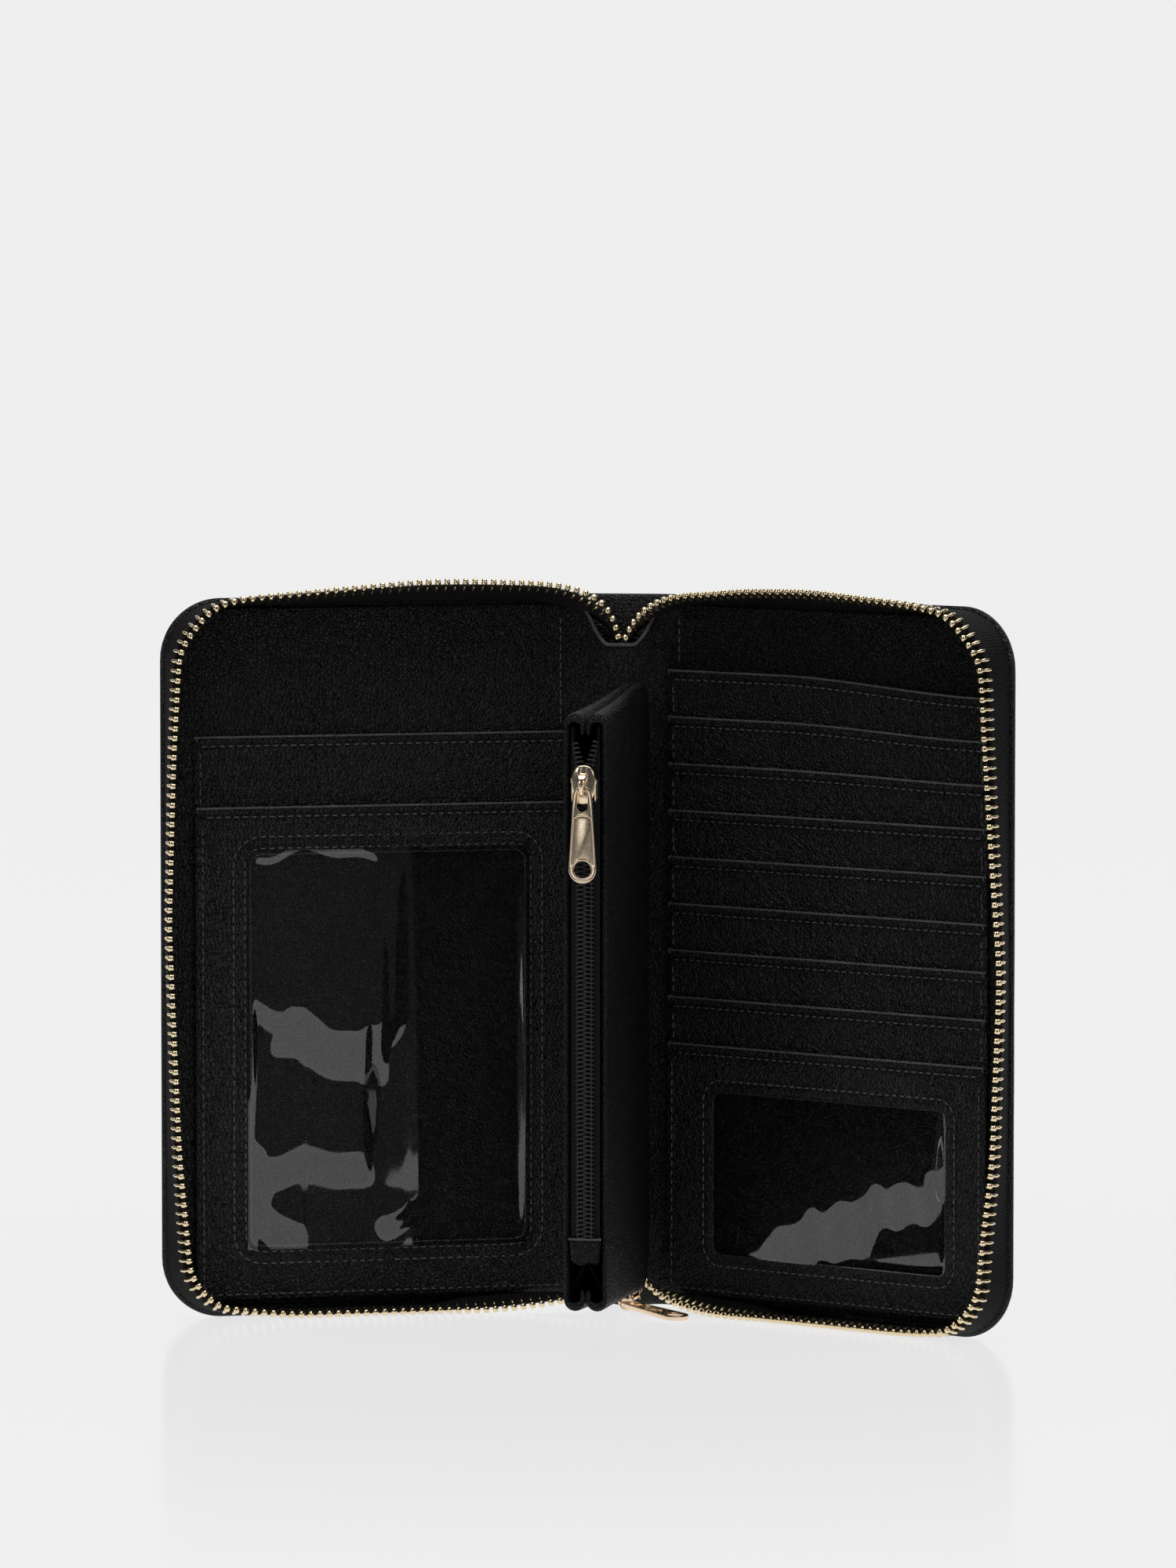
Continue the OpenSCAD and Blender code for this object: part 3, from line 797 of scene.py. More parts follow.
def left_tilt(a, b):
    """Slack folds in the lower half of the large film, and one under its top edge."""
    x = 1 - a + 0.02 * np.sin(11 * b + 2) + 0.01 * np.sin(31 * b)
    y = b + 0.014 * np.sin(13 * a + 1) + 0.008 * np.sin(29 * a)
    folds = 0 * x
    for line, reach in (
            (((0.03, 0.62), (0.15, 0.56)), 0.03),
            (((0.15, 0.55), (0.28, 0.49), (0.45, 0.48)), 0.06),
            (((0.43, 0.52), (0.53, 0.565)), 0.035),
            (((0.0, 0.2), (0.2, 0.19), (0.38, 0.19)), 0.04),
            (((0.0, 0.24), (0.03, 0.1), (0.18, 0.0)), 0.04),
            (((0.5, 0.06), (0.6, 0.08), (0.78, 0.05), (0.95, 0.1)), 0.028),
            (((0.0, 1.0), (0.45, 1.0)), 0.014)):
        folds = np.maximum(folds, near(x, y, line, reach))
    calm = -1.45 * (1 - smooth((b - 0.2) / 0.3)) + 0.8 * smooth((b - 0.6) / 0.25)
    calm = calm - 1.5 * (1 - smooth((b - 0.1) / 0.06))
    return calm + (3.4 + 2.0 * b) * folds


def right_tilt(a, b):
    """One broad slack fold across the small film, climbing to the right, with ragged edges."""
    x = a + 0.02 * np.sin(37 * b) + 0.012 * np.sin(61 * b + 1)
    y = b + 0.02 * np.sin(23 * a) + 0.014 * np.sin(47 * a + 2)
    return (12.0 + 13.0 * b) * near(x, y, ((0.32, 0.1), (0.58, 0.26), (0.9, 0.42)), 0.2)


# --- Stitching -------------------------------------------------------------

THREADS = {}
PAINTED_HIGHLIGHT_EDGES = {}


def for_cover(store, cover):
    """The builder that collects this cover's stitches or edges."""
    return store.setdefault(cover.body, Builder())


def stitches_along(builder, points, normals, step=STITCH_STEP, length=1.75, size=0.23):
    """Adds thread stitches, each a short rounded bar sunk at both ends, along a polyline."""
    points = np.asarray(points, float)
    normals = np.asarray(normals, float)
    travelled = distances_along(points)
    total = travelled[-1]
    count = max(1, int(total / step))
    offset = (total - count * step) / 2
    shares = np.array([-0.5, -0.34, 0.0, 0.34, 0.5])
    heights = np.array([-0.16, 0.08, 0.17, 0.08, -0.16])
    radii = size * np.array([0.5, 0.9, 1.0, 0.9, 0.5])
    for i in range(count):
        middle = offset + (i + 0.5) * step
        where = middle + shares * length
        centre = at_distance(where, travelled, points)
        up = at_distance(middle, travelled, normals)
        up /= np.linalg.norm(up)
        builder.tube(centre + heights[:, None] * up, radii, sides=6, up=up)


def cover_row(cover, points_uwz, **settings):
    """A stitch row through points given in a cover's own frame."""
    points = np.array([cover.at(*p) for p in points_uwz])
    normal = heading(cover.at, 0, 1, 0)
    stitches_along(for_cover(THREADS, cover), points,
                   np.repeat(normal[None, :], len(points), axis=0), **settings)


def painted_highlight_edge(cover, points_uwz, radius=0.34, closed=False):
    """The rounded fold of leather along an edge, in the lighter grey of a painted highlight."""
    points = cover.at(points_uwz[:, 0], points_uwz[:, 1], points_uwz[:, 2])
    normal = heading(cover.at, 0, 1, 0)
    for_cover(PAINTED_HIGHLIGHT_EDGES, cover).tube(points, radius, sides=8, closed=closed, up=normal)


def nick(cover, u, w, z):
    """The bar of thread that ties a pocket's edge down at its end."""
    points = [(u, w - 0.25, z - 1.3), (u, w + 0.2, z - 0.6), (u, w + 0.25, z + 0.2),
              (u, w - 0.7, z + 0.55)]
    for_cover(THREADS, cover).tube([cover.at(*p) for p in points], 0.2, sides=6,
                                   up=heading(cover.at, 1, 0, 0))


def finish_rows(cover):
    """Makes one object of a cover's stitches and one of its edges with the painted highlight."""
    for store, material, name in ((THREADS, THREAD_PAINTED_HIGHLIGHT, "stitches"),
                                  (PAINTED_HIGHLIGHT_EDGES, HIGHLIGHT_EDGE_LEATHER, "painted_highlight_edges")):
        piece = store[cover.body].make(f"{cover.body}_{name}", material, 60)
        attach(piece, cover.body)


# --- Main zip --------------------------------------------------------------

def bezier(a, b, c, d, t):
    t = t[:, None]
    return (1 - t) ** 3 * a + 3 * (1 - t) ** 2 * t * b + 3 * (1 - t) * t ** 2 * c + t ** 3 * d


class Chain:
    """The line of one side's teeth and tape, from the main slider round to the notch at the top."""

    def __init__(self, cover, leans, foot, notch):
        """leans are pairs of place and outward lean. Places run 0 to 1 along the bottom, to 2 round
        the low corner, to 3 up the side, to 4 round the high corner and to 5 along the top."""
        self.cover = cover
        self.leans = leans
        self.edge, self.base = self.run(foot, notch)

    def run(self, foot, notch):
        r = CORNER_R - TAPE_INSET
        straight = COVER_W - CORNER_R
        side = COVER_H - 2 * CORNER_R
        low_u, top_u = 30.0, 17.0
        quarter = r * math.pi / 2
        ends = np.cumsum([0.0, straight - low_u, quarter, side, quarter, straight - top_u])
        travelled = np.arange(0.0, ends[-1], 1.0)
        place = np.interp(travelled, ends, np.arange(6))
        lean = np.interp(place, [a for a, _ in self.leans], [b for _, b in self.leans])
        reach = 12
        kernel = np.hanning(2 * reach + 1)
        padded = np.pad(lean, reach, mode="edge")
        lean = np.convolve(padded, kernel / kernel.sum(), mode="valid")
        edge, base = [], []
        for p, out in zip(place, lean):
            part, share = int(p), p - int(p)
            a = math.radians(90 * share)
            if part == 0:
                u, z, ou, oz = low_u + (straight - low_u) * share, TAPE_INSET, 0, -1
            elif part == 1:
                u, z = straight + r * math.sin(a), CORNER_R - r * math.cos(a)
                ou, oz = math.sin(a), -math.cos(a)
            elif part == 2:
                u, z, ou, oz = COVER_W - TAPE_INSET, CORNER_R + side * share, 1, 0
            elif part == 3:
                u, z = straight + r * math.cos(a), COVER_H - CORNER_R + r * math.sin(a)
                ou, oz = math.cos(a), math.sin(a)
            else:
                u, z, ou, oz = straight + (top_u - straight) * share, COVER_H - TAPE_INSET, 0, 1
            w = TAPE_FOOT + math.sqrt(TAPE_REACH ** 2 - out ** 2)
            lift = 2.2 * (1 - smooth((u - 30.0) / 13.0)) if part == 0 else 0.0
            base.append(self.cover.at(u, TAPE_FOOT, z + lift))
            edge.append(self.cover.at(u + ou * out, w, z + oz * out))
        edge, base = np.array(edge), np.array(base)
        t = np.linspace(0, 1, 28)[1:]

        def into(line, target, arrive, pull_a, pull_b):
            """A curve that leaves a run and arrives at the spine."""
            heading = line[-1] - line[-4]
            heading /= np.linalg.norm(heading)
            arrive = np.array(arrive) / np.linalg.norm(arrive)
            target = np.array(target)
            return bezier(line[-1], line[-1] + heading * pull_a, target - arrive * pull_b, target, t)

        top_edge = into(edge, *notch["edge"])
        top_base = into(base, *notch["base"])
        low_edge = into(edge[::-1], *foot["edge"])[::-1]
        low_base = into(base[::-1], *foot["base"])[::-1]
        return (np.concatenate([low_edge, edge, top_edge]),
                np.concatenate([low_base, base, top_base]))

    def stations(self, step, phase=0.5):
        """Evenly spaced places along the teeth: centre, foot, along, across and normal."""
        travelled = distances_along(self.edge)
        where = np.arange(phase * step, travelled[-1], step)
        centre = at_distance(where, travelled, self.edge)
        foot = at_distance(where, travelled, self.base)
        along = unit(np.gradient(centre, axis=0))
        across = centre - foot
        across = unit(across - along * np.sum(across * along, axis=1)[:, None])
        normal = np.cross(along, across)
        return centre, foot, along, across, normal


# A tooth from its clamped legs to its domed head: place across, half thickness, half height.
TOOTH_RINGS = [
    (-2.4, 0.4, 0.95), (-2.25, 0.54, 1.2), (-0.9, 0.54, 1.2), (-0.4, 0.44, 1.0), (0.25, 0.4, 0.8),
    (0.65, 0.6, 0.82), (1.1, 0.8, 0.93), (1.5, 0.78, 0.9), (1.8, 0.6, 0.7), (1.98, 0.34, 0.4),
    (2.04, 0.1, 0.12),
]
TOOTH_SIDES = 12


def teeth(chain, name, phase, nodes):
    centre, _, along, across, normal = chain.stations(TOOTH_PITCH, phase)
    builder = Builder()
    turns = np.arange(TOOTH_SIDES) * 2 * math.pi / TOOTH_SIDES
    cx = np.sign(np.cos(turns)) * np.abs(np.cos(turns)) ** 0.7
    cy = np.sign(np.sin(turns)) * np.abs(np.sin(turns)) ** 0.7
    for p, t, a, n in zip(centre, along, across, normal):
        points = np.array([
            p + a * place + np.outer(cx, t) * thick + np.outer(cy, n) * high
            for place, thick, high in TOOTH_RINGS
        ])
        builder.capped(points)
    piece = builder.make(name, TOOTH_METAL)
    chain_piece(chain, piece, nodes, "zip_teeth")


def chain_piece(chain, piece, nodes, slot):
    """Fixes a run of teeth or tape in place and hides the CAD nodes it replaces."""
    chain.cover.blend(piece, near=-8.0, far=10.0)
    settle(piece, slot, *nodes)


def tape(chain, name, nodes):
    """The woven tape between the covers and the teeth, with a corded edge under the teeth."""
    centre, foot, _, _, normal = chain.stations(0.55, 0.0)
    shares = np.linspace(0, 1, 19)
    reach = 1 - 1.7 / np.linalg.norm(centre - foot, axis=1)
    rows = []
    for share in shares:
        rows.append(foot + (centre - foot) * (share * reach)[:, None])
    rows = np.array(rows)
    threads = 0.11 * weave(len(shares), len(centre), -0.6)
    threads[0] = 0
    threads[-1] = 0
    half = 0.38 + threads[..., None]
    front = rows + normal[None] * half
    back = rows - normal[None] * half
    builder = Builder()
    builder.shell(front, back)
    cord = foot + (centre - foot) * (1 - 2.0 / np.linalg.norm(centre - foot, axis=1))[:, None]
    builder.tube(cord[::2], 0.75, sides=8, up=(0.3, 0.5, 0.8))
    piece = builder.make(name, TAPE_FABRIC, 60)
    chain_piece(chain, piece, nodes, "zip_tape")


# --- Coin pocket ---------------------------------------------------------------

def coin(x, z, v):
    """Points of the coin pocket's own frame: x across, z up and v out from its hinge."""
    x, z, v = np.broadcast_arrays(*(np.asarray(a, float) for a in (x, z, v)))
    c, s = math.cos(POCKET_TURN), math.sin(POCKET_TURN)
    return np.stack([POCKET_X + x * c - v * s, POCKET_HINGE_Y - x * s - v * c, z], axis=-1)


def pocket_half(v):
    share = (v - POCKET_START) / (POCKET_DEPTH - POCKET_START)
    return POCKET_BACK_HALF + (POCKET_FRONT_HALF - POCKET_BACK_HALF) * share


def pocket_ends(v):
    """The lowest and highest point of the pocket at each distance from its hinge."""
    back_r, front_r = POCKET_BACK_R, POCKET_FRONT_R
    share = (v - POCKET_START - back_r) / (POCKET_DEPTH - POCKET_START - back_r)
    share = np.clip(share, 0, 1)
    behind = np.clip(POCKET_START + back_r - v, 0, back_r)
    ahead = np.clip(v - (POCKET_DEPTH - front_r), 0, front_r)
    cut = (back_r - np.sqrt(back_r ** 2 - behind ** 2)) + (front_r - np.sqrt(front_r ** 2 - ahead ** 2))
    dip = 0.3 * np.sin(np.clip(v / POCKET_DEPTH, 0, 1) * math.pi * 2.3)
    return 6.5 + 4.4 * share + cut, 167.2 - 3.4 * share - cut + dip * (v > 20)


def pocket_side(side, name, node_name):
    """One leather side of the pocket, rolled over at its top, bottom and front."""
    vs = np.unique(np.concatenate([
        POCKET_START + POCKET_BACK_R * (1 - np.sin(np.linspace(math.pi / 2, 0, 12))),
        np.linspace(15.5, 86.0, 40), np.linspace(86.5, 91.6, 12),
        POCKET_DEPTH - 1.3 * (1 - np.sin(np.linspace(0, math.pi / 2, 9))),
    ]))
    half = pocket_half(vs)
    low, high = pocket_ends(vs)
    r = half / 2 - 0.03
    thick = POCKET_SKIN + 0.3 * smooth((vs - LIP_START) / 2.2)
    thick = np.minimum(thick, 1.7 * r)
    groove = np.linspace(0.5, 0, 3)[:-1]
    turns = np.linspace(0, math.pi, 11)
    rows = []

    def row(x, z, nx, nz):
        """One line of the leather from the hinge to the front: its place and where it faces."""
        rows.append([value + 0 * vs for value in (x, z, nx, nz)])

    for g in groove:
        row(POCKET_GAP, low + r + g * r, -1, 0)
    for a in turns:
        row(POCKET_GAP + r - r * math.cos(a), low + r - r * math.sin(a), -math.cos(a), -math.sin(a))
    for share in np.linspace(0, 1, 62)[1:-1]:
        row(POCKET_GAP + 2 * r, low + r + (high - low - 2 * r) * share, 1, 0)
    for a in turns[::-1]:
        row(POCKET_GAP + r - r * math.cos(a), high - r + r * math.sin(a), -math.cos(a), math.sin(a))
    for g in groove[::-1]:
        row(POCKET_GAP, high - r - g * r, -1, 0)
    x, z, nx, nz = np.array(rows).transpose(1, 0, 2)
    v = vs[None, :] + 0 * x
    wave = 0.2 * noise_grid(v, z, 0.05, 60 + side) + 0.07 * noise_grid(v, z, 0.21, 70 + side)
    wave *= np.clip(nx, 0, 1) * smooth((POCKET_DEPTH - v) / 8) * smooth((v - 4) / 8)
    crease = -0.28 * ridge(v, LIP_START - 0.2, 0.8) * np.clip(nx, 0, 1)
    s = np.clip((v - (POCKET_DEPTH - thick / 2)) / (thick / 2), 0, 1)
    lip = thick / 2 * (1 - np.sqrt(1 - s ** 2))
    out, back = wave + crease - lip, wave + crease - (thick - lip)
    front = coin(side * (x + nx * out), z + nz * out, v)
    rear = coin(side * (x + nx * back), z + nz * back, v)
    builder = Builder()
    builder.shell(front, rear)
    piece = builder.make(name, POCKET_LEATHER_PAINTED_SHADE)
    settle(piece, "pocket_leather", node_name, body="coin_pocket")


def fabric(name, centre, normal, node_name):
    """A piece of thin fabric about a centre surface."""
    half = 0.2
    builder = Builder()
    builder.shell(centre + normal * half, centre - normal * half)
    piece = builder.make(name, LINING_FABRIC, 60)
    settle(piece, "lining_fabric", node_name, body="coin_pocket")


def pleat(up, name, node_name):
    """The fold of fabric between the sides: it drops into the pocket along its middle."""
    vs = np.linspace(6.6, 90.2, 60)
    shares = np.linspace(-1, 1, 25)
    wide = np.maximum(pocket_half(vs) - POCKET_SKIN - 0.35, 0.25)
    low, high = pocket_ends(vs)
    r = pocket_half(vs) / 2
    dip = np.minimum(8.0, 0.6 + 1.9 * wide)
    start = high - r - 2.2 if up > 0 else low + r + 2.2
    x = shares[:, None] * wide[None, :]
    fall = 1 - np.sqrt(shares ** 2 + 0.01) / math.sqrt(1.01)
    z = start[None, :] - up * dip[None, :] * fall[:, None]
    v = vs[None, :] + 0 * x
    z = z + 0.25 * noise_grid(v, x, 0.25, 80 + up) * smooth((1 - np.abs(shares)) / 0.3)[:, None]
    slope = up * np.sign(shares)[:, None] * dip[None, :] / wide[None, :]
    size = np.sqrt(1 + slope ** 2)
    normal = heading(coin, -slope / size, 1 / size, 0 * x)
    fabric(name, coin(x, z, v), normal, node_name)


def pocket_lining(side, name, node_name):
    """The fabric glued inside one side of the pocket."""
    vs, shares = np.linspace(6.6, 88.0, 40), np.linspace(0, 1, 60)
    low, high = pocket_ends(vs)
    z = low + 4.5 + (high - low - 9.0) * shares[:, None]
    v = vs[None, :] + 0 * z
    x = pocket_half(v) - POCKET_SKIN - 0.32 + 0.05 * noise_grid(v, z, 0.2, 90 + side)
    normal = heading(coin, side, 0, 0)
    fabric(name, coin(side * x, z, v), normal, node_name)


def coil_open(z):
    """How far one side of the coin zip has parted above its slider."""
    return COIL_PARTED * smooth((z - SLIDER_LOW - 7.0) / 9.5)


def coin_tape(side, name, node_name):
    """Half of the coin zip's tape, which curls away above the slider."""
    zs, shares = np.linspace(24.5, 160.5, 280), np.linspace(0, 1, 15)
    z = zs[None, :] + 0 * shares[:, None]
    start = 0.55 + coil_open(z)
    x = start + (3.75 - start) * shares[:, None]
    v = 92.62 - 1.3 * smooth((z - 152) / 8) * (1 - shares[:, None]) - 0.5 * shares[:, None] ** 2
    rib = 0.05 * weave(len(shares), len(zs), -1.0)
    builder = Builder()
    builder.shell(coin(side * x, z, v + 0.25 + rib), coin(side * x, z, v - 0.25))
    piece = builder.make(name, TAPE_FABRIC, 60)
    settle(piece, "zip_tape", node_name, body="coin_pocket")


def coin_coil(side, name, node_name):
    """The nylon coil of one side: loops that reach just past the middle, between the others."""
    builder = Builder()
    phase = 0.25 if side < 0 else 0.75
    for z in np.arange(COIL_LOW + phase * COIL_PITCH, COIL_HIGH, COIL_PITCH):
        part = float(coil_open(z))
        line = [(2.3, 0, 93.1), (2.25, 0.02, 93.8), (1.7, 0.1, 94.2), (0.9, 0.2, 94.25),
                (0.2, 0.26, 94.2), (-0.3, 0.28, 94.0), (-0.42, 0.28, 93.6), (-0.1, 0.3, 93.2)]
        turned = part / COIL_PARTED
        points = [coin(side * (x * (1 - 0.5 * turned) + part), z + up, v - 1.1 * turned)
                  for x, up, v in line]
        radii = [0.26, 0.27, 0.27, 0.26, 0.27, 0.33, 0.33, 0.2]
        builder.tube(points, radii, sides=7, up=(0, 0, 1))
    zs = np.linspace(COIL_LOW, COIL_HIGH, 220)
    turned = coil_open(zs) / COIL_PARTED
    builder.tube(coin(side * (1.75 * (1 - 0.5 * turned) + coil_open(zs)), zs,
                      94.38 + 0.05 * np.sin(zs * 5.4) - 1.1 * turned), 0.13, sides=6, up=(0, 1, 0))
    piece = builder.make(name, COIL_NYLON, 60)
    settle(piece, "zip_coil", node_name, body="coin_pocket")


def end_tab():
    """The folded leather tab over the lower end of the coin zip."""
    us, shares = np.linspace(-1, 1, 31), np.linspace(0, 1, 26)
    low_z = TAB_LOW + 0.35 * np.sin(us * 5.0) + 1.1 * np.abs(us) ** 6
    z = low_z[None, :] + (TAB_TOP - low_z[None, :]) * shares[:, None]
    half = 3.65 + 0.45 * shares[:, None]
    x = us[None, :] * half
    inward = np.minimum(half * (1 - np.abs(us))[None, :], np.minimum(z - low_z, TAB_TOP - z))
    bulge = rounded(inward, 0.9)
    rim = 0.35 * ridge(TAB_TOP - z, 0.7, 0.5)
    v = 93.0 + (1.75 + rim + 0.12 * np.cos(us * 3)[None, :]) * bulge
    builder = Builder()
    builder.shell(coin(x, z, v), coin(x, z, 92.9 + 0 * v))
    edge_line = coin(us * 4.05, TAB_TOP - 0.05 + 0 * us, 94.3 - 0.9 * np.abs(us) ** 5)
    piece = builder.make("coin_tab", POCKET_LEATHER_PAINTED_SHADE)
    settle(piece, "pocket_leather", "coin_zip_end_tab", body="coin_pocket")
    # The tab's top edge, in the lighter grey of a painted highlight.
    highlight_rim = Builder()
    highlight_rim.tube(edge_line, 0.36, sides=8, up=(0, 0, 1))
    piece = highlight_rim.make("coin_tab_edge_highlight", HIGHLIGHT_EDGE_LEATHER, 60)
    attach(piece, "coin_pocket")


def hinge_strip():
    """The leather strip that holds the pocket to the spine."""
    vs, zs = np.linspace(-1.1, 5.4, 16), spaced(22.0, 150.0, 2.5)
    v, z = np.meshgrid(vs, zs)
    bow = 0.08 * noise_grid(v, z, 0.1, 97)
    builder = Builder()
    builder.shell(coin(0.36 + bow, z, v), coin(-0.36 + bow, z, v))
    piece = builder.make("coin_hinge", POCKET_LEATHER_PAINTED_SHADE)
    Vector(coin(0, 86, -0.8)) * MM
    Vector(coin(0, 86, 2.6)) * MM
    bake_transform(piece)
    settle(piece, "pocket_leather", "coin_hinge_strip")


# --- Sliders and pulls -----------------------------------------------------------

def plate(builder, place, width, length, inner, outer, dome, taper=0.86):
    """A slider's plate: an egg outline, flat inside and softly domed outside."""
    turns = np.arange(48) * 2 * math.pi / 48
    c, s = np.cos(turns), np.sin(turns)
    b = length / 2 * np.sign(s) * np.abs(s) ** 0.85
    wide = width / 2 * (1 + (1 - taper) * (b / (length / 2) - 1) / 2)
    a = wide * np.sign(c) * np.abs(c) ** 0.8
    sign = 1 if outer > inner else -1
    rings = []
    for f, h in ((0.0, 1.0), (0.3, 0.94), (0.55, 0.78), (0.75, 0.5), (0.88, 0.2), (0.95, 0.0)):
        rings.append((f, outer + sign * dome * h))
    rings += [(0.985, outer - sign * 0.12), (1.0, outer - sign * 0.35), (1.0, inner + sign * 0.15),
              (0.98, inner), (0.5, inner), (0.0, inner)]
    points = np.array([place(a * f, b * f, h + 0 * a) for f, h in rings])
    builder.grid(points, close_columns=True)


def slider(builder, place, width, length, outer_face, inner_gap, plate_t, dome):
    """Two plates with side guides, joined by a neck. place maps across, along and out to the row."""
    plate(builder, place, width, length, outer_face - plate_t, outer_face, dome)
    back = outer_face - 2 * plate_t - inner_gap
    plate(builder, place, width, length, back + plate_t, back, dome=0.12)
    for side in (-1, 1):
        for face, sign in ((outer_face - 0.3, -1), (back + 0.3, 1)):
            b = np.linspace(-0.44, 0.16, 10) * length
            flare = 0.35 * smooth((b / length - 0.02) / 0.14)
            guide = side * (width / 2 * 0.9 + flare)
            drop = min(0.45 * inner_gap, 0.9) + 0.3
            line = place(guide, b, face + sign * drop / 2 + 0 * b)
            builder.tube(line, [0.2] + [drop / 2 + 0.12] * 8 + [0.2], sides=8, squash=0.42,
                         up=heading(place, 1, 0, 0))
    neck = np.array([place(x, y, z) for x, y, z in (
        (-0.33, 0.1 * length, 0), (0, 0.02 * length, 0), (0.33, 0.1 * length, 0),
        (0.3, 0.42 * length, 0), (0, 0.46 * length, 0), (-0.3, 0.42 * length, 0))])
    out = heading(place, 0, 0, 1)
    column = np.array([neck + out * (outer_face - plate_t / 2), neck + out * (back + plate_t / 2)])
    builder.grid(column, close_columns=True)


def strap(builder, line, side, wide, thin):
    """A flattened tube whose width always runs along side."""
    line = np.asarray(line, float)
    tangent = unit(np.gradient(line, axis=0))
    side = np.asarray(side, float) / np.linalg.norm(side)
    over = unit(np.cross(tangent, side))
    angles = np.arange(14) * 2 * math.pi / 14
    wide = np.broadcast_to(wide, len(line))
    points = (line[:, None, :] + np.cos(angles)[None, :, None] * side * wide[:, None, None]
              + np.sin(angles)[None, :, None] * over[:, None, :] * thin)
    builder.capped(points)


def arc(x, y, radius, start, end, count):
    angles = np.radians(np.linspace(start, end, count))
    return [(x + radius * math.cos(a), y + radius * math.sin(a)) for a in angles]


def flat_plate(outlines, thick, bevel):
    """A flat metal plate in x and y from outlines, the first the outside and the rest holes."""
    data = bpy.data.curves.new("outline", "CURVE")
    data.dimensions = "2D"
    data.fill_mode = "BOTH"
    data.extrude = (thick / 2 - bevel) * MM
    data.bevel_depth = bevel * MM
    data.bevel_resolution = 2
    data.offset = -bevel * MM
    for outline in outlines:
        spline = data.splines.new("POLY")
        spline.points.add(len(outline) - 1)
        for point, (x, y) in zip(spline.points, outline):
            point.co = (x * MM, y * MM, 0, 1)
        spline.use_cyclic_u = True
    holder = bpy.data.objects.new("outline", data)
    bpy.context.scene.collection.objects.link(holder)
    seen = holder.evaluated_get(bpy.context.evaluated_depsgraph_get())
    mesh = bpy.data.meshes.new_from_object(seen)
    bpy.data.objects.remove(holder)
    bpy.data.curves.remove(data)
    return mesh


def pull(name, matrix, body, node_name):
    """A zip pull: a raised rim round a sunk face, with an eye above and a round hole below."""
    lean = math.degrees(math.asin((PULL_END_R - PULL_TOP_R) / PULL_DROP))

    def outline(inset):
        return (arc(0, 0, PULL_TOP_R - inset, lean, 180 - lean, 25)
                + arc(0, -PULL_DROP, PULL_END_R - inset, 180 - lean, 360 + lean, 33))

    eye = arc(0, 0, 1.3, 0, 180, 17) + arc(0, -2.9, 1.35, 180, 360, 17)
    hole = arc(0, -PULL_DROP, 2.2, 0, 352, 45)

    def face(grow):
        side = [(PULL_TOP_R - PULL_RIM + grow + (PULL_END_R - PULL_TOP_R) * d / PULL_DROP, -d)
                for d in (6.2, 17.5)]
        top = [(side[0][0] * math.cos(a), -6.2 + (0.9 + grow) * math.sin(a))
               for a in np.linspace(0.0, math.pi, 17)]
        below = arc(0, -PULL_DROP, 2.95 - grow, 155, 25, 15)
        return top + [(-side[1][0], side[1][1] + 0.05)] + below + [(side[1][0], side[1][1] + 0.05)]

    joined = bmesh.new()
    joined.from_mesh(flat_plate([outline(0), eye, hole, face(0)], thick=PULL_T, bevel=0.16))
    joined.from_mesh(flat_plate([face(0.35)], thick=0.7, bevel=0.02))
    bmesh.ops.remove_doubles(joined, verts=joined.verts, dist=0.0005 * MM)
    upright = Matrix.Rotation(math.radians(90), 4, "X")
    bmesh.ops.transform(joined, matrix=matrix @ upright, verts=joined.verts)
    mesh = bpy.data.meshes.new(name)
    joined.to_mesh(mesh)
    joined.free()
    piece = show_mesh(name, mesh, PULL_METAL, 35)
    settle(piece, "pull_metal", node_name, body=body)


def coin_slider():
    builder = Builder()

    def place(a, b, c):
        return coin(a, RING_Z + np.asarray(b, float), c)

    slider(builder, place, width=6.6, length=SLIDER_LENGTH, outer_face=95.85, inner_gap=2.7,
           plate_t=1.0, dome=0.55)
    turns = np.radians(np.linspace(-118, 96, 40))
    ring = coin(0, RING_Z + RING_R * np.sin(turns), RING_V + RING_R * np.cos(turns))
    tail = coin(0, np.linspace(RING_Z + 2.75, RING_Z + 4.6, 8), np.linspace(96.55, 95.7, 8))
    line = np.concatenate([ring, tail])
    across = heading(coin, 1, 0, 0)
    wide = 0.5 + 0.8 * smooth((np.arange(len(line)) - 17) / 15)
    strap(builder, line, across, wide, thin=0.5)
    piece = builder.make("coin_slider_body", PULL_METAL, 42)
    settle(piece, "pull_metal", "coin_zip_slider", body="coin_slider")


def main_slider():
    tilt = math.radians(MAIN_TILT)
    builder = Builder()

    def place(a, b, c):
        a, b, c = np.broadcast_arrays(*(np.asarray(k, float) for k in (a, b, c)))
        return np.stack([MAIN_SLIDER[0] + a,
                         MAIN_SLIDER[1] + b * math.cos(tilt) - c * math.sin(tilt),
                         MAIN_SLIDER[2] + b * math.sin(tilt) + c * math.cos(tilt)], axis=-1)

    slider(builder, place, width=8.6, length=9.0, outer_face=1.5, inner_gap=1.0, plate_t=1.0,
           dome=0.3)
    angles = np.arange(48) * 2 * math.pi / 48
    c, s = math.cos(MAIN_PULL_TURN), math.sin(MAIN_PULL_TURN)
    ring = np.stack([MAIN_RING[0] - RING_R * np.cos(angles) * s,
                     MAIN_RING[1] + RING_R * np.cos(angles) * c,
                     MAIN_RING[2] + RING_R * np.sin(angles)], axis=1)
    builder.tube(ring, RING_WIRE, sides=12, closed=True, up=(c, s, 0))
    piece = builder.make("main_slider_body", PULL_METAL, 42)
    settle(piece, "pull_metal", "main_zip_slider", body="spine")


# --- Build: covers -----------------------------------------------------------

